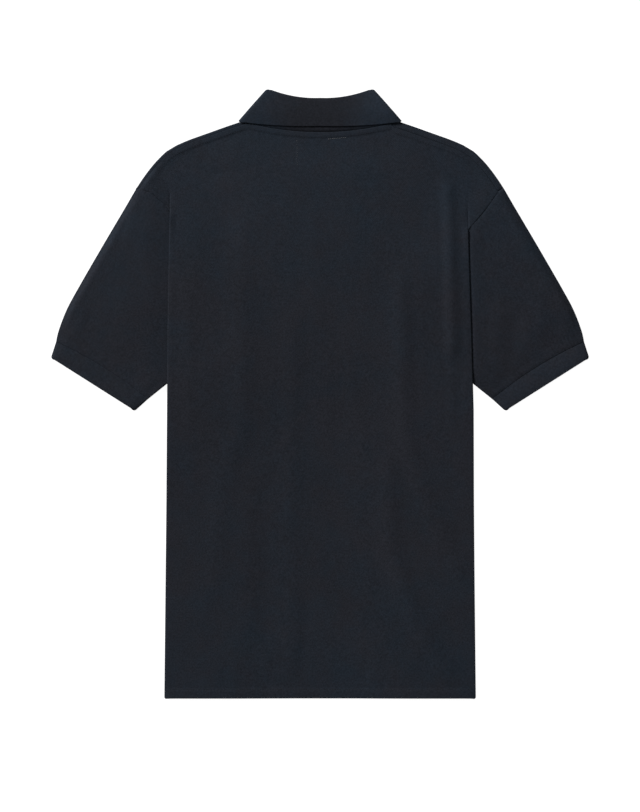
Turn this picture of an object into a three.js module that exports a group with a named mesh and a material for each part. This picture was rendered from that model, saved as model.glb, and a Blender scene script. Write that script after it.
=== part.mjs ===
// A short-sleeved polo shirt laid flat on its front, back up, with its sides tucked in between front and back.
// Millimetres. X runs across the shirt, +Y towards the collar, +Z up. The origin is the middle of the outline,
// on the surface that the shirt lies on. The left is -X.
import * as THREE from "three";

// Cloth
const CLOTH = 1.2; // pique of body and sleeves
const RIB = 1.6; // flat-knit rib of collar and cuffs
const LAYER_GAP = 0.4; // air between two layers that lie on each other
const PITCH = CLOTH + LAYER_GAP;
const SEAM_GAP = 0.35;
const FLOOR_LAYER = CLOTH / 2; // middle of the cloth that lies on the surface

// Body
const HEM_Y = -380.8;
const HEM_DEPTH = 11;
const HEM_EXTRA = 0.6; // thickness that the turned-up hem adds inside
const CHEST_GAP = 2.0; // air between front and back in the middle
const UNDERARM = { x: 106, y: 80 };
const SIDE_SEAM_HEM_X = 120; // where the tucked side seam lies at the hem
const FOLD_PUFF = 1.4; // how much the back stands proud at its side fold
const FOLD_PUFF_WIDTH = 22;
const CLIMB_RUN = 32; // run over which the back climbs onto the tucked side
const FRONT_INSET = 0.8; // how far the front's side fold stays inside the back's
const STRIP = { left: 5, right: 9.5 }; // front cloth that shows above the back's shoulder seam
const SEAM_BAND = { fan: 0.9, extra: 0.4 }; // topstitched seam allowance under the back's upper edge

// Neck
const NECK = { half: 91.3, sideY: 337.5, backDrop: 11.5, frontDrop: 86.5 };
const COLLAR_SIDE = { x: 89, y: 338.2 }; // neck seam at the shoulder

// Collar, as it lies: the stand rises from the neck seam to the roll, and the leaf comes down over it
const ROLL = { x: 65.6, y: 381.7, backDip: 10.9, frontX: 9, frontY: 262 };
const LEAF = { x: 101.6, y: 341.6, backDip: 7.4, pointX: 62, pointY: 222 };
const FRONT_LEAF_Z = RIB / 2;
const FRONT_STAND_Z = 2.8;
const FRONT_STAND_FALL = 0.1; // its slope down from the neck seam to there
const BACK_STAND_Z = 4.75;
const BACK_LEAF_Z = 7.1;
const COLLAR_LIFT = { front: 2.2, back: 1.3 }; // how far the leaf under them lifts the panels

// Placket and buttons, under the front
const PLACKET = { half: 16, top: 250.2, bottom: 100, thick: 1.0, gap: 0.3 };
const PLACKET_COVER = { half: 33, bottom: 78, top: 264, ramp: 28 }; // where the panels lie raised over it
const BUTTON = { radius: 5.6, thick: 1.8, rim: 0.5, ys: [232, 180, 128] };

// Cuffs
const CUFF_EDGE = { outer: { x: 334.4, y: 46.8 }, inner: { x: 229.2, y: -19.8 } };
const CUFF_SEAM = { outer: { x: 330.6, y: 64.5 }, inner: { x: 217, y: -9 }, bow: 4.5 };
const SLEEVE_LOFT = 1.5; // air inside the sleeve

// Distance of each side fold of the body from the middle
const SIDE_FOLD = [
  { y: -380.8, left: 194.8, right: 194.8 },
  { y: -258, left: 193.5, right: 193.5 },
  { y: -133, left: 192.2, right: 192.2 },
  { y: -21, left: 191.2, right: 191.2 },
  { y: 80, left: 190.6, right: 188.6 },
  { y: 140, left: 189.6, right: 187.2 },
  { y: 210, left: 188.2, right: 185.2 },
  { y: 250, left: 187.4, right: 183.2 },
  { y: 275, left: 191.6, right: 188.6 },
  { y: 300, left: 199, right: 198 },
];

// Outline from the neck over the shoulder and down the sleeve to the cuff seam
const SHOULDER = [
  { x: 95, y: 341.2 },
  { x: 112.4, y: 335.5 },
  { x: 141.1, y: 325.5 },
  { x: 168.5, y: 315.5 },
  { x: 188.8, y: 305.5 },
  { x: 203.8, y: 291.8 },
  { x: 214.3, y: 279.3 },
  { x: 223.3, y: 266.8 },
  { x: 230.4, y: 255.8 },
];
const SLEEVE_TOP = [
  { x: 230.4, y: 255.8 },
  { x: 246, y: 229.3 },
  { x: 275.5, y: 179.3 },
  { x: 304.3, y: 129.3 },
  { x: 317.6, y: 104.3 },
  { x: 327.2, y: 79.3 },
  { x: 330.6, y: 64.5 },
];

// Visible part of each armhole seam, from the side fold out to the shoulder
const ARMHOLE = {
  left: [
    { x: 190.2, y: 230 },
    { x: 194.2, y: 236.3 },
    { x: 202.2, y: 242.6 },
    { x: 213.4, y: 251.4 },
    { x: 230.4, y: 255.8 },
  ],
  right: [
    { x: 188, y: 208 },
    { x: 202.1, y: 223.6 },
    { x: 212.2, y: 237.1 },
    { x: 220.5, y: 248.6 },
    { x: 230.4, y: 255.8 },
  ],
};

// Largest folds of the back: a soft ridge, or a trough where height is negative, from one end to the other
const BACK_FOLDS = [
  { x0: 155, y0: 236, x1: 161, y1: 70, width: 10, height: 1.1 },
  { x0: 134, y0: 150, x1: 138, y1: -50, width: 12, height: -0.9 },
  { x0: 138, y0: -50, x1: 168, y1: -120, width: 11, height: -0.7 },
  { x0: 93, y0: 172, x1: 96, y1: -40, width: 13, height: 0.7 },
  { x0: 96, y0: -40, x1: 172, y1: -215, width: 14, height: 0.9 },
  { x0: 56, y0: -60, x1: 113, y1: -243, width: 13, height: -1.0 },
  { x0: 113, y0: -243, x1: 172, y1: -346, width: 12, height: -1.0 },
  { x0: -105, y0: 125, x1: -106, y1: -40, width: 14, height: 0.7 },
  { x0: -106, y0: -40, x1: -146, y1: -280, width: 14, height: 0.9 },
  { x0: -42, y0: 120, x1: -42, y1: -370, width: 13, height: 0.7 },
  { x0: -78, y0: -100, x1: -78, y1: -330, width: 14, height: -0.8 },
  { x0: -141, y0: 210, x1: -138, y1: 30, width: 13, height: -0.7 },
  { x0: -158, y0: 262, x1: -92, y1: 276, width: 6, height: -0.6 },
];

// Largest folds of the sleeves, by distance from the middle
const SLEEVE_FOLDS = {
  left: [
    { x0: 206, y0: 190, x1: 204, y1: 22, width: 9, height: -1.0 },
    { x0: 236, y0: 236, x1: 259, y1: 186, width: 6, height: -0.7 },
    { x0: 250, y0: 150, x1: 262, y1: 50, width: 16, height: 0.9 },
  ],
  right: [
    { x0: 243, y0: 110, x1: 240, y1: 30, width: 9, height: -0.9 },
    { x0: 216, y0: 120, x1: 214, y1: 20, width: 9, height: 0.6 },
    { x0: 271, y0: 150, x1: 268, y1: 50, width: 12, height: 0.9 },
  ],
};

const LOOKS = {
  pique: { color: 0x1f242d, roughness: 0.92 },
  rib: { color: 0x272c35, roughness: 0.9 },
  button: { color: 0x1b1f27, roughness: 0.35 },
};

// Grid of the panels. Columns are distances from the middle at chest height.
const SIDE_COLUMNS = [97, 113, 129, 144, 158, 170, 179];
const BACK_COLUMNS = { neck: [0, 16, 32, 48, 64, 78, 88], side: SIDE_COLUMNS };
const FRONT_COLUMNS = { neck: [0, 30, 60, 88], side: SIDE_COLUMNS };
const COLUMN_SPAN = 185; // the side fold's distance that those columns are shares of
const BACK_ROWS = [-300, -245, -190, -140, -95, -50, -22, 5, 30, 55, 80];
const FRONT_ROWS = [-250, -120, -22, 15, 50, 80];
const HIDDEN_SHARES = [0.3, 0.62, 0.93]; // rows between the underarm and the lowest visible armhole point
// Rows above that: how far up they are, and where they meet the armhole seam
const FAN_ROWS = [
  { fan: 0.03, seam: 0.04 },
  { fan: 0.24, seam: 0.22 },
  { fan: 0.46, seam: 0.42 },
  { fan: 0.68, seam: 0.6 },
  { fan: 0.86, seam: 0.74 },
  { fan: 0.94, seam: 0.82 },
];
const TURN_STEPS = 4;
const TUCK_SHARES = [0.12, 0.4, 0.7, 1];
const SLEEVE_SHARES = [0, 0.12, 0.26, 0.4, 0.54, 0.68, 0.82, 0.93, 1];

// Numbers and curves

const clamp = (v, low, high) => Math.min(high, Math.max(low, v));
const mix = (a, b, t) => a + (b - a) * t;

// 0 before the first value and 1 after the second, or the other way round, with a soft step between them.
function smooth(from, to, v) {
  const t = clamp((v - from) / (to - from), 0, 1);
  return t * t * (3 - 2 * t);
}

// A column of a table, read at any height.
function column(table, name, y) {
  const last = table.length - 1;
  if (y <= table[0].y) return table[0][name];
  if (y >= table[last].y) return table[last][name];
  const k = table.findIndex((row) => row.y > y);
  const t = (y - table[k - 1].y) / (table[k].y - table[k - 1].y);
  return mix(table[k - 1][name], table[k][name], t);
}

const flat = (x, y) => new THREE.Vector2(x, y);
const between = (a, b, t) => a.clone().lerp(b, t);

// Distance from the middle is positive on both sides here; pieces are mirrored when they are placed.
function curve(points) {
  return new THREE.SplineCurve(points.map((p) => flat(p.x, p.y)));
}

const shoulderCurve = curve(SHOULDER);
const sleeveTopCurve = curve(SLEEVE_TOP);
const armholeCurve = { left: curve(ARMHOLE.left), right: curve(ARMHOLE.right) };

function segmentDistance(x, y, a, b) {
  const dx = b.x - a.x;
  const dy = b.y - a.y;
  const t = clamp(((x - a.x) * dx + (y - a.y) * dy) / (dx * dx + dy * dy), 0, 1);
  return Math.hypot(x - a.x - t * dx, y - a.y - t * dy);
}

function outlineDistance(ax, y) {
  const line = [...SHOULDER, ...SLEEVE_TOP.slice(1)];
  return Math.min(...line.slice(1).map((p, k) => segmentDistance(ax, y, line[k], p)));
}

// Height that a list of soft folds adds at a point. Each fold is a bell across its line.
function relief(folds, x, y) {
  let sum = 0;
  for (const f of folds) {
    const off = segmentDistance(x, y, { x: f.x0, y: f.y0 }, { x: f.x1, y: f.y1 });
    sum += f.height * Math.exp(-((off / f.width) ** 2));
  }
  return sum;
}

const nameOf = (side) => (side < 0 ? "left" : "right");
const foldHalf = (side, y) => column(SIDE_FOLD, nameOf(side), y);
const junction = (side) => ARMHOLE[nameOf(side)][0];

// Distance from the middle of the tucked side seam, or of the hidden part of the armhole seam above it.
function hiddenSeam(side, y) {
  if (y <= UNDERARM.y) {
    return mix(UNDERARM.x, SIDE_SEAM_HEM_X, (UNDERARM.y - y) / (UNDERARM.y - HEM_Y));
  }
  const top = junction(side);
  return mix(UNDERARM.x, top.x, clamp((y - UNDERARM.y) / (top.y - UNDERARM.y), 0, 1));
}

// How far a point lies above the lower edge of the sleeve.
function aboveSleeveEdge(ax, y) {
  const dx = CUFF_SEAM.inner.x - UNDERARM.x;
  const dy = CUFF_SEAM.inner.y - UNDERARM.y;
  return ((y - UNDERARM.y) * dx - (ax - UNDERARM.x) * dy) / Math.hypot(dx, dy);
}

const neckBackY = (ax) => NECK.sideY - NECK.backDrop * (1 - (clamp(ax, 0, NECK.half) / NECK.half) ** 2);
const neckFrontY = (ax) => NECK.sideY - NECK.frontDrop * Math.sqrt(Math.max(0, 1 - (ax / NECK.half) ** 2.2));

// 1 at the neck seam, and 0 a hand's breadth below it.
function nearNeck(ax, y) {
  const below = Math.max(neckBackY(ax) - y, 0);
  const beside = Math.max(ax - NECK.half, 0) * 0.9;
  return 1 - smooth(4, 60, below + beside);
}

// Heights of the layers, all at the middle of the cloth

const PLACKET_LIFT = BUTTON.thick + 2 * PLACKET.thick + 3 * PLACKET.gap;

// Distance outside the front leaf of the collar.
function leafDistance(ax, y) {
  const centre = { x: 0, y: ROLL.frontY };
  const tip = { x: LEAF.pointX, y: LEAF.pointY };
  const side = { x: LEAF.x, y: LEAF.y };
  const above = ax < tip.x
    ? y > mix(centre.y, tip.y, ax / tip.x)
    : y > mix(tip.y, side.y, (ax - tip.x) / (side.x - tip.x));
  return above ? Math.max(ax - side.x, 0) : Math.min(segmentDistance(ax, y, centre, tip), segmentDistance(ax, y, tip, side));
}

// 1 over the placket, and 0 a little way around it.
function placketCover(ax, y) {
  const { half, bottom, top, ramp } = PLACKET_COVER;
  return 1 - smooth(0, ramp, Math.max(ax - half, bottom - y, y - top, 0));
}

function frontHeight(x, y) {
  const ax = Math.abs(x);
  const overLeaf = COLLAR_LIFT.front * (1 - smooth(12, 42, leafDistance(ax, y)));
  return FLOOR_LAYER + Math.max(overLeaf, PLACKET_LIFT * placketCover(ax, y));
}

const frontFlapHeight = FLOOR_LAYER + PITCH;

// Sleeve layers lie on the front's tucked side and sink to the surface beyond it.
function sleeveSink(side, ax, y) {
  const outside = smooth(10, 54, ax - foldHalf(side, y));
  const top = junction(side).y;
  return mix(outside, 1, smooth(top - 2, top + 46, y));
}

const sleeveLowHeight = (side, ax, y) => FLOOR_LAYER + 2 * PITCH * (1 - sleeveSink(side, ax, y));

function sleeveUpHeight(side, ax, y) {
  const sunk = sleeveSink(side, ax, y);
  const held = smooth(1, 26, outlineDistance(ax, y)) * smooth(1, 26, aboveSleeveEdge(ax, y));
  const folds = relief(SLEEVE_FOLDS[nameOf(side)], ax, y);
  return sleeveLowHeight(side, ax, y) + PITCH + sunk * held * Math.max(SLEEVE_LOFT + folds, 0);
}

const backFlapHeight = (ax, y) => FLOOR_LAYER + 2 * PITCH + 2 * PITCH * smooth(-40, -10, aboveSleeveEdge(ax, y));

function backMiddleHeight(x, y) {
  const ax = Math.abs(x);
  const neck = nearNeck(ax, y);
  const open = FLOOR_LAYER + CLOTH + CHEST_GAP + COLLAR_LIFT.back * (1 - smooth(16, 70, leafDistance(ax, y)));
  const overPlacket = FLOOR_LAYER + PLACKET_LIFT + RIB + LAYER_GAP;
  const chest = mix(open, overPlacket, placketCover(ax, y));
  const shoulder = smooth(42, 3, outlineDistance(ax, y)) * (1 - neck);
  return mix(chest, BACK_STAND_Z, neck) - shoulder;
}

// 1 over the tucked side, and 0 in the middle and up at the shoulder.
function sideClimb(side, ax, y) {
  const top = junction(side).y;
  const inner = hiddenSeam(side, y);
  return smooth(inner - CLIMB_RUN, inner - 2, ax) * (1 - smooth(top - 24, top + 58, y));
}

function backHeight(side, x, y) {
  const ax = Math.abs(x);
  const puff = FOLD_PUFF * smooth(FOLD_PUFF_WIDTH, 2, foldHalf(side, y) - ax);
  const high = backFlapHeight(ax, y) + PITCH + puff;
  const room = smooth(2, 26, outlineDistance(ax, y)) * smooth(2, 30, neckBackY(ax) - y);
  const edge = smooth(0, 16, foldHalf(side, y) - ax);
  return mix(backMiddleHeight(x, y), high, sideClimb(side, ax, y)) + relief(BACK_FOLDS, x, y) * room * edge;
}

// Walls

const node = (x, y, z, out = CLOTH / 2, inside = CLOTH / 2) => ({ at: new THREE.Vector3(x, y, z), out, inside });

// A wall of cloth through a grid of points in the middle of the cloth. out and inside say how far it reaches to
// either side. A grid may lack points. A closed wall joins its last column to its first.
function wall(grid, closed = false) {
  const rows = grid.length;
  const cols = grid[0].length;
  const find = (j, i) => grid[j]?.[closed ? (i + cols) % cols : i] ?? null;
  const across = new THREE.Vector3();
  const along = new THREE.Vector3();
  const outer = [];
  const inner = [];
  const index = new Map();
  for (let j = 0; j < rows; j++) {
    for (let i = 0; i < cols; i++) {
      const here = find(j, i);
      if (!here) continue;
      across.subVectors((find(j, i + 1) ?? here).at, (find(j, i - 1) ?? here).at);
      along.subVectors((find(j + 1, i) ?? here).at, (find(j - 1, i) ?? here).at);
      const normal = new THREE.Vector3().crossVectors(across, along).normalize();
      index.set(here, outer.length);
      outer.push(here.at.clone().addScaledVector(normal, here.out));
      inner.push(here.at.clone().addScaledVector(normal, -here.inside));
    }
  }
  const shift = outer.length;
  const faces = [];
  const quad = (a, b, c, d) => faces.push(a, b, c, a, c, d);
  const edges = new Set();
  for (let j = 0; j < rows - 1; j++) {
    for (let i = 0; i < (closed ? cols : cols - 1); i++) {
      const corners = [find(j, i), find(j, i + 1), find(j + 1, i + 1), find(j + 1, i)];
      if (corners.includes(null)) continue;
      const [a, b, c, d] = corners.map((corner) => index.get(corner));
      quad(a, b, c, d);
      quad(shift + d, shift + c, shift + b, shift + a);
      for (const [from, to] of [[a, b], [b, c], [c, d], [d, a]]) edges.add(`${from} ${to}`);
    }
  }
  for (const edge of edges) {
    const [a, b] = edge.split(" ").map(Number);
    if (!edges.has(`${b} ${a}`)) quad(b, a, shift + a, shift + b);
  }
  const geometry = new THREE.BufferGeometry();
  const positions = [...outer, ...inner].flatMap((v) => [v.x, v.y, v.z]);
  geometry.setAttribute("position", new THREE.Float32BufferAttribute(positions, 3));
  geometry.setIndex(faces);
  return geometry;
}

// Front and back

// Past the side fold below the visible armhole: the cloth turns in under itself and runs to the hidden seam.
function tuckedProfile(side, y, back) {
  const fold = foldHalf(side, y);
  const flap = back ? backFlapHeight(fold, y) : frontFlapHeight;
  const radius = back ? (PITCH + FOLD_PUFF) / 2 : PITCH / 2;
  const centre = fold - CLOTH / 2 - radius - (back ? 0 : FRONT_INSET);
  const middle = back ? flap + radius : flap - radius;
  const points = [];
  for (let k = 0; k <= TURN_STEPS; k++) {
    const angle = Math.PI * (0.5 - k / TURN_STEPS) * (back ? 1 : -1);
    points.push(new THREE.Vector3(centre + radius * Math.cos(angle), y, middle + radius * Math.sin(angle)));
  }
  const end = Math.min(hiddenSeam(side, y), centre - 4);
  for (const share of TUCK_SHARES) {
    const x = mix(centre, end, share);
    points.push(new THREE.Vector3(x, y, back ? backFlapHeight(x, y) : flap));
  }
  return points;
}

// The way in from the shoulder outline, at a share of its length.
function shoulderFrame(share) {
  const tangent = shoulderCurve.getTangentAt(share);
  return { edge: shoulderCurve.getPointAt(share), inward: flat(tangent.y, -tangent.x) };
}

function shoulderPoint(share, inset) {
  const { edge, inward } = shoulderFrame(share);
  return edge.addScaledVector(inward, inset);
}

// Share of the armhole seam at which it lies an inset in from the outline.
const armholeTop = (side, inset) => 1 - inset / armholeCurve[nameOf(side)].getLength();

// The same, but bent to end on the armhole seam.
function stripPoint(side, share, inset) {
  const seam = armholeCurve[nameOf(side)].getPointAt(armholeTop(side, inset));
  return shoulderPoint(share, inset).addScaledVector(seam.sub(shoulderPoint(1, inset)), smooth(0.8, 1, share));
}

// Share of the shoulder outline at a distance from the middle.
function shoulderShare(ax) {
  let low = 0;
  let high = 1;
  for (let k = 0; k < 30; k++) {
    const t = (low + high) / 2;
    if (shoulderCurve.getPointAt(t).x < ax) low = t;
    else high = t;
  }
  return low;
}

const FOLD_TOP_SHARE = shoulderShare(192);
const STEP_RUN = 2.6; // length in plan of the step beside the side fold

// Shares of the way from the side fold to the armhole seam at which the columns lie.
function openShares(reach) {
  const step = Math.min(STEP_RUN, 0.35 * reach) / reach;
  const down = Array.from({ length: TURN_STEPS + 1 }, (_, k) => (step * k) / TURN_STEPS);
  return [...down, ...TUCK_SHARES.map((share) => mix(step, 1, share))];
}

// Past the side fold above that: down the step beside the fold, then out to the armhole seam.
function openProfile(side, level, back, inset) {
  const h = level.fan;
  const top = shoulderPoint(FOLD_TOP_SHARE, inset);
  const seamTop = stripPoint(side, 1, inset);
  const foldY = mix(junction(side).y, top.y, h);
  const foldX = mix(foldHalf(side, foldY) - (back ? 1.4 : 3), top.x, smooth(0.6, 1, h));
  const fold = flat(foldX, foldY);
  const seam = armholeCurve[nameOf(side)].getPointAt(level.seam ?? armholeTop(side, inset));
  const foldZ = back ? backHeight(side, fold.x, fold.y) : frontHeight(fold.x, fold.y);
  return openShares(fold.distanceTo(seam)).map((share, k) => {
    const chord = between(top, seamTop, share);
    const bow = stripPoint(side, mix(FOLD_TOP_SHARE, 1, share), inset).sub(chord);
    const at = between(fold, seam, share).addScaledVector(bow, h * h);
    const reachZ = back ? sleeveUpHeight(side, at.x, at.y) : sleeveLowHeight(side, at.x, at.y);
    const z = mix(foldZ, reachZ, back ? smooth(0, TURN_STEPS, k) : smooth(0, 1, share));
    return new THREE.Vector3(at.x, at.y, z);
  });
}

// Where a main column ends at the top: on the neck seam, or at an inset from the shoulder outline.
function columnTop(columns, k, back, inset) {
  const neck = columns.neck.length;
  if (k < neck) {
    const x = columns.neck[k];
    return flat(x, (back ? neckBackY(x) : neckFrontY(x)) - SEAM_GAP / 2);
  }
  return shoulderPoint((FOLD_TOP_SHARE * (k - neck)) / columns.side.length, inset);
}

// Half a row, from the middle out. level holds a height, or a share of the way from the junction to the top.
function halfRow(side, columns, back, level, inset, middleY) {
  const shares = [...columns.neck, ...columns.side].map((x) => x / COLUMN_SPAN);
  const height = (x, y) => (back ? backHeight(side, x * side, y) : frontHeight(x, y));
  const main = shares.map((share, k) => {
    const lean = smooth(0, 0.6, share);
    if (level.fan === undefined) {
      const y = mix(middleY, level.y, lean);
      const x = share * foldHalf(side, y);
      return new THREE.Vector3(x, y, height(x, y));
    }
    const from = flat(share * foldHalf(side, junction(side).y), mix(middleY, junction(side).y, lean));
    const at = between(from, columnTop(columns, k, back, inset), level.fan);
    return new THREE.Vector3(at.x, at.y, height(at.x, at.y));
  });
  const rest = level.fan === undefined ? tuckedProfile(side, level.y, back) : openProfile(side, level, back, inset);
  return [...main, ...rest].map((v) => new THREE.Vector3(v.x * side, v.y, v.z));
}

function fullRow(columns, back, levelOf, insetOf, middleY, reachOf) {
  const [left, right] = [-1, 1].map((side) =>
    halfRow(side, columns, back, levelOf(side), insetOf(side), middleY).map((v) => {
      const [out, inside] = reachOf(v);
      return node(v.x, v.y, v.z, out, inside);
    }),
  );
  return [...left.reverse(), ...right.slice(1)];
}

const plain = () => [CLOTH / 2, CLOTH / 2];

// The turned-up hem thickens a panel on its inside, but not where the cloth is tucked.
function hemmed(back) {
  return (v) => {
    const extra = HEM_EXTRA * (1 - smooth(80, 92, Math.abs(v.x)));
    return back ? [CLOTH / 2, CLOTH / 2 + extra] : [CLOTH / 2 + extra, CLOTH / 2];
  };
}

const MIDDLE_TOP = (junction(-1).y + junction(1).y) / 2;

// Rows from the hem up to the height where the armhole seams come into sight.
function panelRows(columns, back, rows, insetOf) {
  const same = (y) => () => ({ y });
  const grid = [HEM_Y, HEM_Y + HEM_DEPTH].map((y) => fullRow(columns, back, same(y), insetOf, y, hemmed(back)));
  for (const y of [HEM_Y + HEM_DEPTH + 2, ...rows]) grid.push(fullRow(columns, back, same(y), insetOf, y, plain));
  for (const share of HIDDEN_SHARES) {
    const levelOf = (side) => ({ y: mix(UNDERARM.y, junction(side).y, share) });
    grid.push(fullRow(columns, back, levelOf, insetOf, mix(UNDERARM.y, MIDDLE_TOP, share), plain));
  }
  return grid;
}

function backPanel() {
  const insetOf = (side) => STRIP[nameOf(side)] + SEAM_GAP;
  const grid = panelRows(BACK_COLUMNS, true, BACK_ROWS, insetOf);
  for (const level of [...FAN_ROWS, { fan: 1 }]) {
    const band = level.fan > SEAM_BAND.fan ? SEAM_BAND.extra : 0;
    const reachOf = (v) => [CLOTH / 2 + band * (1 - smooth(150, 190, Math.abs(v.x))), CLOTH / 2];
    grid.push(fullRow(BACK_COLUMNS, true, () => level, insetOf, MIDDLE_TOP, reachOf));
  }
  return wall(grid);
}

// Shares of the shoulder outline at which the columns beside the neck meet it.
function shoulderColumnShares(columns) {
  const main = columns.side.map((x, k) => (FOLD_TOP_SHARE * k) / columns.side.length);
  const reach = shoulderPoint(FOLD_TOP_SHARE, 0).distanceTo(shoulderPoint(1, 0));
  return [...main, ...openShares(reach).map((share) => mix(FOLD_TOP_SHARE, 1, share))];
}

// The front reaches the shoulder outline, turns over it, and ends in the strip that the back is sewn to.
function frontPanel() {
  const insetOf = () => CLOTH / 2 + PITCH / 2;
  const grid = panelRows(FRONT_COLUMNS, false, FRONT_ROWS, insetOf);
  const fanRow = (level) => fullRow(FRONT_COLUMNS, false, () => level, insetOf, MIDDLE_TOP, plain);
  for (const level of FAN_ROWS) grid.push(fanRow(level));
  const last = fanRow({ fan: 1 });
  const middle = (last.length - 1) / 2;
  const neck = FRONT_COLUMNS.neck.length;
  const turned = Array.from({ length: TURN_STEPS + 2 }, () => last.map(() => null));
  for (let i = middle - neck + 1; i < middle + neck; i++) turned[0][i] = last[i];
  for (const side of [-1, 1]) {
    shoulderColumnShares(FRONT_COLUMNS).forEach((share, n) => {
      const edge = shoulderPoint(share, 0);
      const low = edge.x < 190 ? frontHeight(edge.x, edge.y) : sleeveLowHeight(side, edge.x, edge.y);
      const high = backHeight(side, edge.x * side, edge.y);
      const radius = (high - low) / 2;
      const i = middle + side * (neck + n);
      for (let k = 0; k <= TURN_STEPS; k++) {
        const angle = Math.PI * (k / TURN_STEPS - 0.5);
        const inset = CLOTH / 2 + radius * (1 - Math.cos(angle));
        const p = stripPoint(side, share, inset);
        turned[k][i] = node(p.x * side, p.y, (low + high) / 2 + radius * Math.sin(angle));
      }
      const end = stripPoint(side, share, STRIP[nameOf(side)]);
      turned[TURN_STEPS + 1][i] = node(end.x * side, end.y, high);
    });
  }
  return wall([...grid, ...turned]);
}

// Sleeves and cuffs

// Armhole seam as the sleeve meets it, from the shoulder to the underarm, with the body's own points.
function armholePoints(side) {
  const armhole = armholeCurve[nameOf(side)];
  const shares = [1, armholeTop(side, STRIP[nameOf(side)]), ...FAN_ROWS.map((row) => row.seam).reverse()];
  const seen = shares.map((share) => armhole.getPointAt(share));
  const hidden = [...HIDDEN_SHARES].reverse().map((share) => {
    const y = mix(UNDERARM.y, junction(side).y, share);
    return flat(hiddenSeam(side, y), y);
  });
  return [...seen, ...hidden, flat(UNDERARM.x, UNDERARM.y)];
}

// Shares of its length at which a run of points lies.
function lengthShares(points) {
  const lengths = [0];
  points.slice(1).forEach((p, k) => lengths.push(lengths[k] + p.distanceTo(points[k])));
  return lengths.map((length) => length / lengths.at(-1));
}

// Cuff seam from the outer end, at 0, to the inner end, at 1.
function cuffSeam(share) {
  const outer = flat(CUFF_SEAM.outer.x, CUFF_SEAM.outer.y);
  const inner = flat(CUFF_SEAM.inner.x, CUFF_SEAM.inner.y);
  const run = inner.clone().sub(outer).normalize();
  return between(outer, inner, share).addScaledVector(flat(run.y, -run.x), CUFF_SEAM.bow * 4 * share * (1 - share));
}

function cuffEdge(share) {
  return between(flat(CUFF_EDGE.outer.x, CUFF_EDGE.outer.y), flat(CUFF_EDGE.inner.x, CUFF_EDGE.inner.y), share);
}

// One ring of a flat tube: over the top from the outer edge to the inner, round that edge, and back below.
function flatRing(side, plan, low, high, thick) {
  const place = (p, z) => node(p.x * side, p.y, z, thick / 2, thick / 2);
  const turn = (edge, next) => {
    const inward = next.clone().sub(edge).normalize();
    const middle = (low(edge) + high(edge)) / 2;
    const radius = (high(edge) - low(edge)) / 2;
    return [-90, -45, 0, 45, 90].map((degrees) => {
      const angle = THREE.MathUtils.degToRad(degrees);
      const p = edge.clone().addScaledVector(inward, thick / 2 + radius * (1 - Math.cos(angle)));
      return place(p, middle + radius * Math.sin(angle));
    });
  };
  const inside = plan.slice(1, -1);
  const outerTurn = turn(plan[0], plan[1]);
  const innerTurn = turn(plan.at(-1), plan.at(-2)).reverse();
  const upper = inside.map((p) => place(p, high(p)));
  const lower = inside.map((p) => place(p, low(p))).reverse();
  const ring = [...outerTurn, ...upper, ...innerTurn, ...lower];
  return side < 0 ? ring.reverse() : ring;
}

// Moves a run of plan points sideways, away from the body.
function shiftOut(points, distance) {
  const moved = points.map((p, k) => {
    const run = points[Math.min(k + 1, points.length - 1)].clone().sub(points[Math.max(k - 1, 0)]);
    return p.clone().addScaledVector(flat(-run.y, run.x).normalize(), distance);
  });
  moved.forEach((p, k) => points[k].copy(p));
}

function sleeve(side) {
  const armhole = armholePoints(side);
  const shares = lengthShares(armhole);
  const underarm = armhole.at(-1);
  const top = armhole[0];
  const grid = SLEEVE_SHARES.map((u) => {
    const topEdge = sleeveTopCurve.getPointAt(u);
    const lowEdge = between(underarm, cuffSeam(1), u);
    const plan = shares.map((v, k) => {
      const across = between(armhole[k], cuffSeam(v), u);
      const along = between(topEdge, lowEdge, v);
      const corners = between(between(top, underarm, v), between(cuffSeam(0), cuffSeam(1), v), u);
      return across.add(along).sub(corners);
    });
    if (u === 0) shiftOut(plan, SEAM_GAP);
    if (u === 1) shiftOut(plan, -SEAM_GAP);
    const low = (p) => sleeveLowHeight(side, p.x, p.y);
    const high = (p) => sleeveUpHeight(side, p.x, p.y);
    return flatRing(side, plan, low, high, CLOTH);
  });
  return wall(grid, true);
}

function cuff(side) {
  const shares = lengthShares(armholePoints(side));
  const low = (p) => sleeveLowHeight(side, p.x, p.y) + (RIB - CLOTH) / 2;
  const high = (p) => low(p) + RIB + LAYER_GAP;
  const grid = [0, 0.5, 1].map((w) => {
    const plan = shares.map((v) => between(cuffSeam(v), cuffEdge(v), w));
    return flatRing(side, plan, low, high, RIB);
  });
  return wall(grid, true);
}

// Collar

// One section of the collar: the stand, round the roll, and the leaf, from the neck seam to the leaf's edge.
function collarSection(seam, roll, leaf, standZ, leafZ, seamZ) {
  const radius = Math.abs(leafZ - standZ) / 2;
  const up = roll.clone().sub(between(seam, leaf, 0.5)).normalize();
  const turn = roll.clone().addScaledVector(up, -(radius + RIB / 2));
  const apex = roll.clone().addScaledVector(up, -RIB / 2);
  const bend = between(turn, apex, 0.72);
  const middle = (standZ + leafZ) / 2;
  const swing = (leafZ - standZ) * 0.36;
  return [
    [seam, seamZ],
    [between(seam, turn, 0.5), mix(seamZ, standZ, 0.8)],
    [turn, standZ],
    [bend, middle - swing],
    [apex, middle],
    [bend, middle + swing],
    [turn, leafZ],
    [between(turn, leaf, 0.5), leafZ],
    [leaf, leafZ],
  ].map(([p, z]) => new THREE.Vector3(p.x, p.y, z));
}

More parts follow.
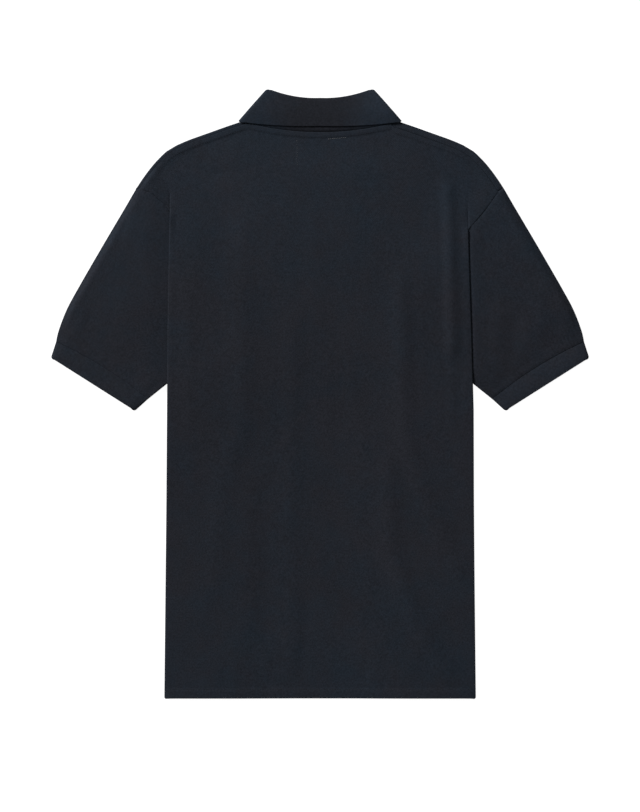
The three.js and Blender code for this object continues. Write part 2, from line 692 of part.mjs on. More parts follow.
function collar() {
  const away = flat(ROLL.y - LEAF.y, LEAF.x - ROLL.x).normalize();
  const leafTurn = (BACK_LEAF_Z - FRONT_LEAF_Z) / 2 + RIB / 2;
  const sideSeam = flat(COLLAR_SIDE.x, COLLAR_SIDE.y);
  const sideRoll = flat(ROLL.x, ROLL.y).addScaledVector(away, -leafTurn);
  const sideLeaf = flat(LEAF.x, LEAF.y).addScaledVector(away, -leafTurn);
  const backSections = BACK_COLUMNS.neck.map((x) => {
    const u = x / NECK.half;
    const dip = 1 - u * u;
    const seam = flat(x, neckBackY(x) + SEAM_GAP / 2);
    const roll = flat(sideRoll.x * u, mix(ROLL.y, sideRoll.y, u) - ROLL.backDip * dip);
    const leaf = flat(sideLeaf.x * u, mix(LEAF.y, sideLeaf.y, u) - LEAF.backDip * dip);
    return collarSection(seam, roll, leaf, BACK_STAND_Z, BACK_LEAF_Z, BACK_STAND_Z);
  });
  const sideBack = collarSection(sideSeam, sideRoll, sideLeaf, BACK_STAND_Z, BACK_LEAF_Z, BACK_STAND_Z);
  const sideFront = collarSection(sideSeam, sideRoll, sideLeaf, FRONT_STAND_Z, FRONT_LEAF_Z, FRONT_STAND_Z);
  const turnSections = [90, 45, 0, -45, -90].map((degrees) => {
    const angle = THREE.MathUtils.degToRad(degrees);
    return sideBack.map((top, k) => {
      const radius = (top.z - sideFront[k].z) / 2;
      const out = radius * Math.cos(angle);
      const z = (top.z + sideFront[k].z) / 2 + radius * Math.sin(angle);
      return new THREE.Vector3(top.x + away.x * out, top.y + away.y * out, z);
    });
  });
  const seams = [...FRONT_COLUMNS.neck].reverse().map((x) => flat(Math.max(x, 3), neckFrontY(x) + SEAM_GAP));
  const shares = lengthShares([sideSeam, ...seams]).slice(1);
  const frontSections = seams.map((seam, k) => {
    const roll = between(sideRoll, flat(ROLL.frontX, ROLL.frontY), shares[k]);
    const leaf = between(sideLeaf, flat(LEAF.pointX, LEAF.pointY), shares[k]);
    const seamZ = frontHeight(seam.x, seam.y);
    const standZ = Math.max(FRONT_STAND_Z, seamZ - FRONT_STAND_FALL * seam.distanceTo(roll));
    return collarSection(seam, roll, leaf, standZ, FRONT_LEAF_Z, seamZ);
  });
  const half = [...backSections, ...turnSections, ...frontSections];
  const place = (side) => half.map((section) => section.map((v) => node(v.x * side, v.y, v.z, RIB / 2, RIB / 2)));
  return wall([...place(1).reverse(), ...place(-1).slice(1)]);
}

// Placket and buttons

function strap(half, top, bottom, level) {
  const geometry = new THREE.BoxGeometry(half * 2, top - bottom, PLACKET.thick);
  return geometry.translate(0, (top + bottom) / 2, level + PLACKET.thick / 2);
}

function button(y) {
  const { radius, thick, rim } = BUTTON;
  const profile = [
    flat(0, 0.5),
    flat(radius - 1.6, 0.5),
    flat(radius - 1.1, 0),
    flat(radius - rim, 0),
    flat(radius, rim),
    flat(radius, thick - rim),
    flat(radius - rim, thick),
    flat(0, thick),
  ];
  return new THREE.LatheGeometry(profile, 20).rotateX(Math.PI / 2).translate(0, y, 0);
}

// The shirt

function piece(name, geometry, look) {
  const mesh = new THREE.Mesh(geometry, new THREE.MeshStandardMaterial({ ...LOOKS[look], metalness: 0 }));
  mesh.name = name;
  return mesh;
}

const shirt = new THREE.Group();
shirt.add(piece("back", backPanel(), "pique"));
shirt.add(piece("front", frontPanel(), "pique"));
for (const side of [-1, 1]) {
  shirt.add(piece(`sleeve_${nameOf(side)}`, sleeve(side), "pique"));
  shirt.add(piece(`cuff_${nameOf(side)}`, cuff(side), "rib"));
}
shirt.add(piece("collar", collar(), "rib"));
const upperLevel = BUTTON.thick + PLACKET.gap;
const underLevel = upperLevel + PLACKET.thick + PLACKET.gap;
shirt.add(piece("placket_upper", strap(PLACKET.half, PLACKET.top, PLACKET.bottom, upperLevel), "pique"));
shirt.add(piece("placket_under", strap(PLACKET.half - 1, PLACKET.top, PLACKET.bottom + 4, underLevel), "pique"));
BUTTON.ys.forEach((y, k) => shirt.add(piece(`button_${k + 1}`, button(y), "button")));

export default shirt;
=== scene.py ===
"""A dark navy short-sleeved polo shirt laid flat on its front, back up, with its sides tucked in.
Lengths in the tables are millimetres in the row frame. The left is -X. Side is -1 on the left and 1 on
the right, and ax is the distance from the middle."""

import bisect
import math

import bmesh
import bpy
from mathutils import Matrix, Vector, noise


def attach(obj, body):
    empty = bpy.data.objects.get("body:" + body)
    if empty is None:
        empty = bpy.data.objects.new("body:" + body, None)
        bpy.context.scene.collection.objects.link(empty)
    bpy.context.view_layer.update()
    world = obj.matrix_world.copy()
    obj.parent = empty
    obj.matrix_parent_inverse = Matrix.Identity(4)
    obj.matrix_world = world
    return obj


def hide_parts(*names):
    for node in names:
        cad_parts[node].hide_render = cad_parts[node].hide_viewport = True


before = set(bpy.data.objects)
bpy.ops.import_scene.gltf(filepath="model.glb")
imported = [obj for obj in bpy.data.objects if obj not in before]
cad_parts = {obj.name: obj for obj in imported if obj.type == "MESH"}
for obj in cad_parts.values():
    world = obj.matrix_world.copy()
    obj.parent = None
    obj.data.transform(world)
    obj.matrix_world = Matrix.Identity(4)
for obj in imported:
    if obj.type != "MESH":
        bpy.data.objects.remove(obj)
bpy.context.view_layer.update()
MM = 0.001

# Cloth
CLOTH = 1.2
RIB = 1.6
LAYER_GAP = 0.4
PITCH = CLOTH + LAYER_GAP
SEAM_LAP = 0.5  # how far two pieces reach into their seam
FLOOR_LAYER = CLOTH / 2

# Body
HEM_Y = -381.5
HEM_DEPTH = 11.6
CHEST_GAP = 2.0
UNDERARM = (106, 80)
SIDE_SEAM_HEM_X = 120
FOLD_PUFF = 0.4
FOLD_PUFF_WIDTH = 22
CLIMB_RUN = 90  # the back rises over this run onto the tucked side
FRONT_INSET = 0.8
STRIP = {-1: 5, 1: 9.5}  # front cloth that shows above the back's shoulder seam
SEAM_ALLOWANCE = 6.2  # topstitched along the neck and the shoulders
SEAM_RAISE = 0.75
SEAM_END = (185, 200)  # the shoulder's seam allowance flattens out between these
COLUMN_SPAN = 185

# Neck and collar
NECK_END = 88  # half width at which the rows along the neck end
NECK_HALF, NECK_SIDE_Y, NECK_BACK_DROP, NECK_FRONT_DROP = 91.3, 337.5, 11.5, 86.5
COLLAR_SIDE = (89, 338.2)
ROLL = {"x": 65.6, "y": 382.7, "back_dip": 13.2, "front": (9, 262)}
LEAF = {"x": 101.6, "y": 341.6, "back_dip": 7.4, "point": (62, 222)}
FRONT_LEAF_Z, FRONT_STAND_Z, FRONT_STAND_FALL = 0.8, 2.8, 0.1
BACK_STAND_Z, BACK_LEAF_Z = 4.75, 7.1
COLLAR_CORNER = 0.8  # how far the collar's corners lie along its folded ends from the square corners
COLLAR_TIP = 2.2  # how far the fold at each end of the collar is drawn in at its top corner
COLLAR_LIFT = {"front": 2.2, "back": 1.3}
# How far the leaf stands up between its roll and its edge, by x
LEAF_PUFF = [(-100, 0), (-84, 0.7), (-62, 1.3), (-40, 0.8), (-12, 0), (30, 0), (52, 0.5), (72, 1.6), (92, 3),
             (100, 3)]

# Placket and buttons, under the front
PLACKET = {"half": 16, "top": 250.2, "bottom": 100, "thick": 1.0, "gap": 0.3}
PLACKET_COVER = {"half": 33, "bottom": 78, "top": 264}
BUTTON_RADIUS, BUTTON_THICK, BUTTON_RIM = 5.6, 1.8, 0.5
BUTTON_YS = (232, 180, 128)
PLACKET_LIFT = BUTTON_THICK + 2 * PLACKET["thick"] + 3 * PLACKET["gap"]

# Sleeves and cuffs
CUFF_EDGE = ((336.9, 44.9), (231.7, -21.7))
CUFF_SEAM = ((330.6, 64.5), (215.5, -7.2))
CUFF_BOW = 4.5
SLEEVE_MOUTH = {-1: 5.4, 1: 7.7}  # height of the upper layer where it comes out from under the back
SLEEVE_LEVEL = {-1: 7.5, 1: 6.4}  # its height further out
SLEEVE_HEAD = 2.7  # how far the end of the shoulder holds the two layers of the sleeve apart
CUFF_LOFT = 1.5
CUFF_CORNER, HEM_CORNER = 2.3, 1.8  # radius of the corners

SIDE_FOLD = {
    -1: [(-380.8, 194.8), (-258, 193.5), (-133, 192.2), (-21, 191.2), (80, 190.6), (140, 189.6), (210, 188.2),
         (250, 187.4), (275, 191.6), (300, 199)],
    1: [(-380.8, 194.8), (-258, 193.5), (-133, 192.4), (-21, 191.9), (80, 189.2), (140, 187.2), (210, 185.2),
        (250, 183.2), (275, 188.6), (300, 198)],
}
SHOULDER = [(95, 341.2), (112.4, 335.5), (141.1, 325.5), (168.5, 315.5), (188.8, 305.5), (203.8, 291.8),
            (214.3, 279.3), (223.3, 266.8), (230.4, 255.8)]
SLEEVE_TOP = [(230.4, 255.8), (246, 229.3), (275.5, 179.3), (304.3, 129.3), (317.6, 104.3), (327.2, 79.3),
              (330.6, 64.5)]
ARMHOLE = {
    -1: [(190.2, 230), (194.2, 236.3), (202.2, 242.6), (213.4, 251.4), (230.4, 255.8)],
    1: [(188, 208), (202.1, 223.6), (212.2, 237.1), (220.5, 248.6), (230.4, 255.8)],
}

# Creases: the points of its line, its half width, and its height, which is negative in a trough
BACK_CREASES = [
    (((160, 275), (163, 150), (166, 35)), 8, 2.5),
    (((144, 240), (146, 120), (148, -40), (175, -130)), 9, -1.7),
    (((101, 172), (103, 20), (107, -45), (115, -85), (132, -130), (158, -190), (188, -245)), 12, 1.6),
    (((83, -60), (88, -190), (104, -245), (124, -292), (172, -372)), 13, 1.7),
    (((-96, 240), (-96, 125), (-97, -40), (-122, -115), (-137, -280)), 13, 0.9),
    (((-34, 120), (-36, -120), (-34, -372)), 12, 0.8), (((-69, -90), (-71, -200), (-68, -335)), 13, -0.9),
    (((-135, 225), (-130, 30)), 12, -0.8), (((-166, 150), (-164, -60)), 8, 0.5),
    (((-156, 268), (-116, 277), (-80, 275)), 6, -0.6), (((-125, 316), (-91, 322)), 3, -0.6),
    (((-159, 305), (-140, 304)), 3, -0.5), (((-118, 309), (-96, 314)), 3, 0.4),
    (((153, 300), (121, 311)), 4, 0.4), (((18, 150), (24, -20), (12, -160)), 11, -0.4),
    (((-7, 250), (-5, 60)), 10, 0.35), (((40, 40), (64, -130)), 9, 0.4), (((156, -262), (106, -352)), 9, 0.5),
    (((-14, -240), (-26, -374)), 8, -0.4), (((72, -300), (66, -378)), 8, 0.4),
    (((-113, -320), (-123, -380)), 7, -0.4), (((172, 40), (176, -60)), 6, -0.5),
    (((-53, 290), (-59, 180)), 10, -0.35), (((69, 296), (77, 190)), 10, 0.35),
]
SLEEVE_CREASES = {
    -1: [
        (((234, 238), (242, 220), (254, 188)), 5, -0.9),
        (((240, 160), (252, 50)), 15, 0.4), (((219, 19), (219, 4)), 3, -0.6),
        (((224, 24), (226, 3)), 3, 0.45), (((279, 120), (294, 70)), 8, -0.6),
        (((218, 215), (224, 160)), 6, 0.5), (((296, 100), (304, 70)), 5, 0.5),
    ],
    1: [
        (((244, 110), (242, 28)), 9, -0.9), (((221, 120), (217, 18)), 9, 0.6),
        (((276, 150), (273, 50)), 12, 0.6), (((294, 110), (300, 66)), 8, -0.6),
        (((232, 225), (244, 180)), 6, -0.5), (((209, 190), (216, 140)), 6, 0.4),
        (((304, 90), (310, 66)), 5, 0.5),
    ],
}

# Grids. A fan row runs from the top of the side fold to a share of the armhole seam.
SIDE_COLUMNS = [97, 113, 129, 144, 158, 170, 179, COLUMN_SPAN]
FAN_SEAMS = [(0.03, 0.04), (0.24, 0.22), (0.46, 0.42), (0.68, 0.6), (0.86, 0.74), (0.94, 0.82)]
HIDDEN_TOP = 0.93  # share of the way from the underarm at which the side stops being tucked
TUCK_REACH = 4  # least width of the cloth that is tucked in


def clamp(value, low, high):
    return min(high, max(low, value))


def mix(a, b, t):
    return a + (b - a) * t


def smooth(start, end, value):
    """0 before the start and 1 after the end, or the other way round, with a soft step between them."""
    t = clamp((value - start) / (end - start), 0, 1)
    return t * t * (3 - 2 * t)


def bell(distance, width):
    return math.exp(-((distance / width) ** 2))


def read(table, key):
    """Second column of a table at any value of the first."""
    keys = [row[0] for row in table]
    k = clamp(bisect.bisect_right(keys, key), 1, len(table) - 1)
    t = clamp((key - keys[k - 1]) / (keys[k] - keys[k - 1]), 0, 1)
    return mix(table[k - 1][1], table[k][1], t)


def steps(count):
    return [k / count for k in range(count + 1)]


def plan(point):
    return Vector((point[0], point[1]))


class Line:
    """A smooth line through points in plan, read by share of its length."""

    def __init__(self, points, fine=40):
        points = [plan(p) for p in points]
        self.points = []
        for k in range(len(points) - 1):
            before, after = points[max(k - 1, 0)], points[min(k + 2, len(points) - 1)]
            for n in range(fine):
                self.points.append(self.between(before, points[k], points[k + 1], after, n / fine))
        self.points.append(points[-1])
        self.lengths = [0]
        for a, b in zip(self.points, self.points[1:]):
            self.lengths.append(self.lengths[-1] + (b - a).length)

    @staticmethod
    def between(before, a, b, after, t):
        from_a, into_b = (b - before) * 0.5, (after - a) * 0.5
        cubic = 2 * a - 2 * b + from_a + into_b
        square = 3 * b - 3 * a - 2 * from_a - into_b
        return cubic * t**3 + square * t * t + from_a * t + a

    def length(self):
        return self.lengths[-1]

    def at(self, share):
        want = clamp(share, 0, 1) * self.length()
        k = clamp(bisect.bisect_right(self.lengths, want), 1, len(self.points) - 1)
        span = self.lengths[k] - self.lengths[k - 1]
        return self.points[k - 1].lerp(self.points[k], (want - self.lengths[k - 1]) / span)

    def direction(self, share):
        step = 0.001
        return (self.at(share + step) - self.at(share - step)).normalized()


shoulder_line = Line(SHOULDER)
sleeve_top_line = Line(SLEEVE_TOP)
armhole_line = {side: Line(points) for side, points in ARMHOLE.items()}
OUTLINE = SHOULDER + SLEEVE_TOP[1:]


def segment_distance(x, y, x0, y0, x1, y1):
    dx, dy = x1 - x0, y1 - y0
    t = clamp(((x - x0) * dx + (y - y0) * dy) / (dx * dx + dy * dy), 0, 1)
    return math.hypot(x - x0 - t * dx, y - y0 - t * dy)


def outline_distance(ax, y):
    """Distance in from the shoulder and the top of the sleeve."""
    return min(segment_distance(ax, y, *a, *b) for a, b in zip(OUTLINE, OUTLINE[1:]))


def creases(rows, x, y):
    total = 0
    for line, width, height in rows:
        off = min(segment_distance(x, y, *a, *b) for a, b in zip(line, line[1:]))
        if off < 3 * width:
            to_end = min(math.hypot(x - line[k][0], y - line[k][1]) for k in (0, -1))
            total += height * bell(off, width) * smooth(0, 3 * width, to_end)
    return total


def unevenness(x, y, seed):
    """Gentle waviness that laid cloth has everywhere."""
    broad = noise.noise(Vector((x / 46, y / 70, seed)))
    fine = noise.noise(Vector((x / 15, y / 19, seed + 7)))
    return 0.5 * broad + 0.12 * fine


def corner_inset(to_end, radius):
    """How far a rounded corner lies inside the square one, at a distance from the end."""
    beyond = clamp(radius - to_end, 0, radius)
    return radius - math.sqrt(radius * radius - beyond * beyond)


def fold_half(side, y):
    return read(SIDE_FOLD[side], y) - corner_inset(y - HEM_Y, HEM_CORNER)


def junction(side):
    """Lowest point of the armhole seam that is in sight."""
    return ARMHOLE[side][0]


def hidden_seam(side, y):
    """How far from the middle the tucked side seam is and, above the underarm, the hidden armhole seam."""
    x0, y0 = UNDERARM
    if y <= y0:
        return mix(x0, SIDE_SEAM_HEM_X, (y0 - y) / (y0 - HEM_Y))
    x1, y1 = junction(side)
    return mix(x0, x1, clamp((y - y0) / (y1 - y0), 0, 1))


def hidden_y(side, share):
    """Height at a share of the way from the underarm to the lowest armhole seam in sight."""
    return mix(UNDERARM[1], junction(side)[1], share)


def above_sleeve_edge(ax, y):
    dx, dy = CUFF_SEAM[1][0] - UNDERARM[0], CUFF_SEAM[1][1] - UNDERARM[1]
    return ((y - UNDERARM[1]) * dx - (ax - UNDERARM[0]) * dy) / math.hypot(dx, dy)


def neck_back_y(ax):
    return NECK_SIDE_Y - NECK_BACK_DROP * (1 - (clamp(ax, 0, NECK_HALF) / NECK_HALF) ** 2)


def neck_front_y(ax):
    return NECK_SIDE_Y - NECK_FRONT_DROP * math.sqrt(max(0, 1 - (ax / NECK_HALF) ** 2.2))


def near_neck(ax, y):
    return 1 - smooth(4, 60, max(neck_back_y(ax) - y, 0) + max(ax - NECK_HALF, 0) * 0.9)


def leaf_distance(ax, y):
    """Distance outside the part of the collar that lies under the front."""
    centre, point, side = ROLL["front"][1], LEAF["point"], (LEAF["x"], LEAF["y"])
    if ax < point[0]:
        edge_y = mix(centre, point[1], ax / point[0])
    else:
        edge_y = mix(point[1], side[1], (ax - point[0]) / (side[0] - point[0]))
    if y > edge_y:
        return max(ax - side[0], 0)
    return min(segment_distance(ax, y, 0, centre, *point), segment_distance(ax, y, *point, *side))


def placket_cover(ax, y, ramp=28):
    """1 over the placket, and 0 a ramp away from it."""
    beside = max(ax - PLACKET_COVER["half"], 0)
    beyond = max(PLACKET_COVER["bottom"] - y, y - PLACKET_COVER["top"], 0)
    return 1 - smooth(0, ramp, math.hypot(beside, beyond))


def front_height(x, y):
    ax = abs(x)
    over_leaf = COLLAR_LIFT["front"] * (1 - smooth(12, 42, leaf_distance(ax, y)))
    return FLOOR_LAYER + max(over_leaf, PLACKET_LIFT * placket_cover(ax, y))


def sleeve_sink(side, ax, y):
    outside = smooth(4, 40, ax - fold_half(side, y))
    top = junction(side)[1]
    return mix(outside, 1, smooth(top - 2, top + 46, y))


def sleeve_low_height(side, ax, y):
    return FLOOR_LAYER + 2 * PITCH * (1 - sleeve_sink(side, ax, y))


def sleeve_up_height(side, ax, y):
    """The upper layer comes out low from under the back, then stands level on the air in the sleeve."""
    held = smooth(0, 9, outline_distance(ax, y)) * smooth(0, 15, above_sleeve_edge(ax, y))
    folds = creases(SLEEVE_CREASES[side], ax, y) + unevenness(side * ax, y, 3)
    out = ax - fold_half(side, y)
    mouth = mix(SLEEVE_MOUTH[side], 5, smooth(-6, 24, y - junction(side)[1]))
    level = mix(mouth, SLEEVE_LEVEL[side], smooth(-8, 28, out))
    to_shoulder = math.hypot(ax - SHOULDER[-1][0], y - SHOULDER[-1][1])
    least = sleeve_low_height(side, ax, y) + PITCH + SLEEVE_HEAD * bell(to_shoulder, 16)
    free = smooth(-1.6, 2.6, out) * held
    return max(least, mix(least, level + folds, free))


def back_flap_height(ax, y):
    return FLOOR_LAYER + 2 * PITCH + 2 * PITCH * smooth(-150, -8, above_sleeve_edge(ax, y))


def back_middle_height(x, y):
    ax = abs(x)
    neck = near_neck(ax, y)
    collar_lift = COLLAR_LIFT["back"] * (1 - smooth(16, 70, leaf_distance(ax, y)))
    open_chest = FLOOR_LAYER + CLOTH + CHEST_GAP + collar_lift
    over_placket = FLOOR_LAYER + PLACKET_LIFT + RIB + LAYER_GAP
    chest = mix(open_chest, over_placket, placket_cover(ax, y, 150))
    shoulder = smooth(42, 3, outline_distance(ax, y)) * (1 - neck)
    return mix(chest, BACK_STAND_Z, neck) - 0.6 * shoulder


def side_climb(side, ax, y):
    top = junction(side)[1]
    inner = hidden_seam(side, y)
    return smooth(inner - CLIMB_RUN, inner - 2, ax) * (1 - smooth(top - 70, top + 70, y))


def seam_relief(side, ax, y):
    """Raised seam allowance along neck and shoulder, and the hem, each with the dip of its stitches."""
    to_neck = (neck_back_y(ax) - y) if ax < NECK_HALF else math.hypot(ax - NECK_HALF, NECK_SIDE_Y - y)
    to_shoulder = outline_distance(ax, y) - STRIP[side] if ax > NECK_HALF else to_neck
    to_edge = min(to_neck, to_shoulder)
    seamed = 1 - smooth(*SEAM_END, ax)
    band = SEAM_RAISE * smooth(SEAM_ALLOWANCE + 1, SEAM_ALLOWANCE - 0.2, to_edge) * seamed
    stitched = bell(to_edge - SEAM_ALLOWANCE + 0.5, 0.8) * seamed
    hem = y - HEM_Y
    band += 0.5 * smooth(HEM_DEPTH + 1, HEM_DEPTH, hem)
    stitched += bell(hem - HEM_DEPTH + 0.6, 0.8)
    return band - 0.3 * stitched


def back_height(side, x, y):
    ax = abs(x)
    fold = fold_half(side, y) - ax
    high = back_flap_height(ax, y) + PITCH + mix(0.2, FOLD_PUFF, smooth(FOLD_PUFF_WIDTH, 2, fold))
    room = smooth(2, 26, outline_distance(ax, y)) * smooth(2, 30, neck_back_y(ax) - y)
    edge = smooth(0, 16, fold)
    climb = side_climb(side, ax, y)
    folds = creases(BACK_CREASES, x, y) * room + unevenness(x, y, 0) * mix(1, 0.4, climb) * mix(0.3, 1, room)
    height = mix(back_middle_height(x, y), high, climb) + folds * edge
    on_flap = back_flap_height(ax, y) + PITCH - 0.2 - 4 * (1 - climb)
    return max(height, on_flap) + seam_relief(side, ax, y)


def make_object(name, bm, material, smooth_faces=True):
    mesh = bpy.data.meshes.new(name)
    for face in bm.faces:
        face.smooth = smooth_faces
    bm.to_mesh(mesh)
    bm.free()
    mesh.materials.append(material)
    obj = bpy.data.objects.new(name, mesh)
    bpy.context.scene.collection.objects.link(obj)
    return obj


def cloth(name, rows, thickness, material, closed=False):
    """A wall of cloth through rows of points in its middle, with the lengths along it as its UVs. A row may
    lack points. A closed wall joins its last column to its first."""
    if closed:
        rows = [row + row[:1] for row in rows]
    across, along = len(rows[0]), len(rows)
    bm = bmesh.new()
    bmesh.ops.create_grid(bm, x_segments=across - 1, y_segments=along - 1, size=1)
    order = sorted(bm.verts, key=lambda v: (round(v.co.y, 6), round(v.co.x, 6)))
    lengths = row_lengths(rows)
    uv = bm.loops.layers.uv.new("cloth")
    place = {vert: divmod(k, across) for k, vert in enumerate(order)}
    for face in bm.faces:
        for loop in face.loops:
            j, i = place[loop.vert]
            loop[uv].uv = lengths[j][i]
    absent = []
    for vert, (j, i) in place.items():
        if rows[j][i] is None:
            absent.append(vert)
        else:
            vert.co = rows[j][i] * MM
    bmesh.ops.delete(bm, geom=absent, context="VERTS")
    if closed:
        bmesh.ops.remove_doubles(bm, verts=bm.verts, dist=1e-6)
    bmesh.ops.recalc_face_normals(bm, faces=bm.faces)
    obj = make_object(name, bm, material)
    shell = obj.modifiers.new("thickness", "SOLIDIFY")
    shell.thickness = thickness * MM
    shell.offset = 0
    return obj


def row_lengths(rows):
    """Metres across each row from its middle, and up from the first row."""
    middle = len(rows[0]) // 2
    up = 0
    before = None
    table = []
    for row in rows:
        points = [p for p in row if p is not None]
        lead = points[len(points) // 4]
        if before is not None:
            up += min((lead - before).length, 12)
        before = lead
        out = [0] * len(row)
        for k in range(middle + 1, len(row)):
            out[k] = out[k - 1] + ((row[k] - row[k - 1]).length if row[k] and row[k - 1] else 4)
        for k in range(middle - 1, -1, -1):
            out[k] = out[k + 1] - ((row[k] - row[k + 1]).length if row[k] and row[k + 1] else 4)
        table.append([(x * MM, up * MM) for x in out])
    return table


def strip_inset(side):
    return STRIP[side] - SEAM_LAP


def shoulder_point(share, inset):
    direction = shoulder_line.direction(share)
    return shoulder_line.at(share) + Vector((direction.y, -direction.x)) * inset


def armhole_top(side, inset):
    return 1 - inset / armhole_line[side].length()


def strip_point(side, share, inset):
    """Point at an inset from the shoulder, bent to end on the armhole seam."""
    seam = armhole_line[side].at(armhole_top(side, inset))
    return shoulder_point(share, inset) + (seam - shoulder_point(1, inset)) * smooth(0.8, 1, share)


def shoulder_share(ax):
    low, high = 0, 1
    for _ in range(30):
        t = (low + high) / 2
        low, high = (t, high) if shoulder_line.at(t).x < ax else (low, t)
    return low


FOLD_TOP_SHARE = shoulder_share(192)
TURN = 8
REACH = steps(12)[1:]


def tucked_profile(side, y, back):
    """The cloth turns in under itself at the side fold and runs to the hidden seam."""
    fold = fold_half(side, y)
    flap = back_flap_height(fold, y) if back else FLOOR_LAYER + PITCH
    radius = (PITCH + FOLD_PUFF) / 2 if back else PITCH / 2
    centre = fold - CLOTH / 2 - radius - (0 if back else FRONT_INSET)
    middle = flap + radius if back else flap - radius
    points = []
    for k in range(TURN + 1):
        angle = math.pi * (0.5 - k / TURN) * (1 if back else -1)
        points.append(Vector((centre + radius * math.cos(angle), y, middle + radius * math.sin(angle))))
    end = min(hidden_seam(side, y), centre - TUCK_REACH)
    for share in REACH:
        x = mix(centre, end, share)
        points.append(Vector((x, y, back_flap_height(x, y) if back else flap)))
    return points


def open_profile(side, fan, back, inset):
    """Above that, the cloth steps down beside the fold and runs out to the armhole seam."""
    top = shoulder_point(FOLD_TOP_SHARE, inset)
    seam_top = strip_point(side, 1, inset)
    fold_y = mix(junction(side)[1], top.y, fan)
    fold_x = mix(fold_half(side, fold_y) - (1.4 if back else 3), top.x, smooth(0.6, 1, fan))
    fold = Vector((fold_x, fold_y))
    seam = armhole_line[side].at(read(FAN_SEAMS + [(1, armhole_top(side, inset))], fan))
    fold_z = back_height(side, side * fold.x, fold.y) if back else front_height(fold.x, fold.y)
    reach = (seam - fold).length
    step = mix(min(2.6, 0.35 * reach) / reach, 0.9, smooth(0.12, 0.75, fan))
    shares = [step * k / TURN for k in range(TURN + 1)] + [mix(step, 1, share) for share in REACH]
    points = []
    for k, share in enumerate(shares):
        bow = strip_point(side, mix(FOLD_TOP_SHARE, 1, share), inset) - top.lerp(seam_top, share)
        at = fold.lerp(seam, share) + bow * fan * fan
        if back:
            dip = 0.2 * smooth(1.5, 0, (1 - share) * reach)
            z = mix(fold_z, sleeve_up_height(side, at.x, at.y), smooth(0, TURN, k)) - dip
        else:
            z = mix(fold_z, sleeve_low_height(side, at.x, at.y), smooth(0, 1, share))
        points.append(Vector((at.x, at.y, z)))
    return points


def shoulder_share_of_column(x):
    """Share of the shoulder at which a column beside the neck ends."""
    last = len(SIDE_COLUMNS) - 1
    return FOLD_TOP_SHARE * read([(column, k / last) for k, column in enumerate(SIDE_COLUMNS)], x)


def column_top(share, back, inset):
    """Where a column ends at the top: on the neck seam, or at an inset from the shoulder."""
    x = share * COLUMN_SPAN
    side_x = SIDE_COLUMNS[0]
    if x >= side_x:
        return shoulder_point(shoulder_share_of_column(x), inset)
    at = min(x, NECK_END)
    neck = Vector((at, (neck_back_y(at) if back else neck_front_y(at)) + SEAM_LAP))
    return neck.lerp(shoulder_point(0, inset), clamp((x - NECK_END) / (side_x - NECK_END), 0, 1))


def half_row(side, back, columns, y, fan, middle_y):
    """Half a row from the middle out: at height y while the side is tucked, and above that as a fan row."""
    inset = strip_inset(side) if back else CLOTH / 2 + PITCH / 2
    top = junction(side)[1]
    points = []
    for share in columns:
        lean = smooth(0, 0.6, share)
        if fan is None:
            at_y = mix(middle_y, y, lean)
            at = Vector((share * fold_half(side, at_y), at_y))
        else:
            start = Vector((share * fold_half(side, top), mix(middle_y, top, lean)))
            at = start.lerp(column_top(share, back, inset), fan)
        z = back_height(side, side * at.x, at.y) if back else front_height(at.x, at.y)
        points.append(Vector((at.x, at.y, z)))
    points += tucked_profile(side, y, back) if fan is None else open_profile(side, fan, back, inset)
    return [Vector((side * p.x, p.y, p.z)) for p in points]


def full_row(back, columns, y_of, fan, middle_y):
    left, right = (half_row(side, back, columns, y_of(side), fan, middle_y) for side in (-1, 1))
    return left[::-1] + right[1:]


MIDDLE_TOP = (junction(-1)[1] + junction(1)[1]) / 2
HEM_ROWS = (0, 0.25, 0.7, 1.4, 2.2, 3.4, 5.6, 8, 9.6, 10.4, 11, 11.6, 12.2, 13, 14.4, 16.5)


def panel_rows(back, columns, spacing):
    rows = []
    start = HEM_Y + HEM_ROWS[-1]
    count = round((UNDERARM[1] - start) / spacing)
    body = [mix(start, UNDERARM[1], share) for share in steps(count)[1:]]
    for y in [HEM_Y + up for up in HEM_ROWS] + body:
        rows.append(full_row(back, columns, lambda side: y, None, y))
    count = round(140 / spacing)
    for k in range(count):
        share = HIDDEN_TOP * (k + 1) / count
        middle_y = mix(UNDERARM[1], MIDDLE_TOP, share)
        rows.append(full_row(back, columns, lambda side: hidden_y(side, share), None, middle_y))
    below, above = rows[-1], full_row(back, columns, lambda side: 0, FAN_SEAMS[0][0], MIDDLE_TOP)
    for t in (0.2, 0.4, 0.6, 0.8):
        rows.append([a.lerp(b, t) for a, b in zip(below, above)])
    rows.append(above)
    count = round(90 / spacing)
    fans = [mix(FAN_SEAMS[0][0], 0.88, (k + 1) / count) for k in range(count)]
    if back:
        fans += [0.9, 0.912, 0.922, 0.932, 0.94, 0.948, 0.956, 0.966, 0.978, 0.99]
    for fan in fans + [1]:
        rows.append(full_row(back, columns, lambda side: 0, fan, MIDDLE_TOP))
    return rows


def main_columns(count):
    return [k / count * SIDE_COLUMNS[-2] / COLUMN_SPAN for k in range(count + 1)]


def back_panel(material):
    return cloth("back_panel", panel_rows(True, main_columns(46), 4.2), CLOTH, material)


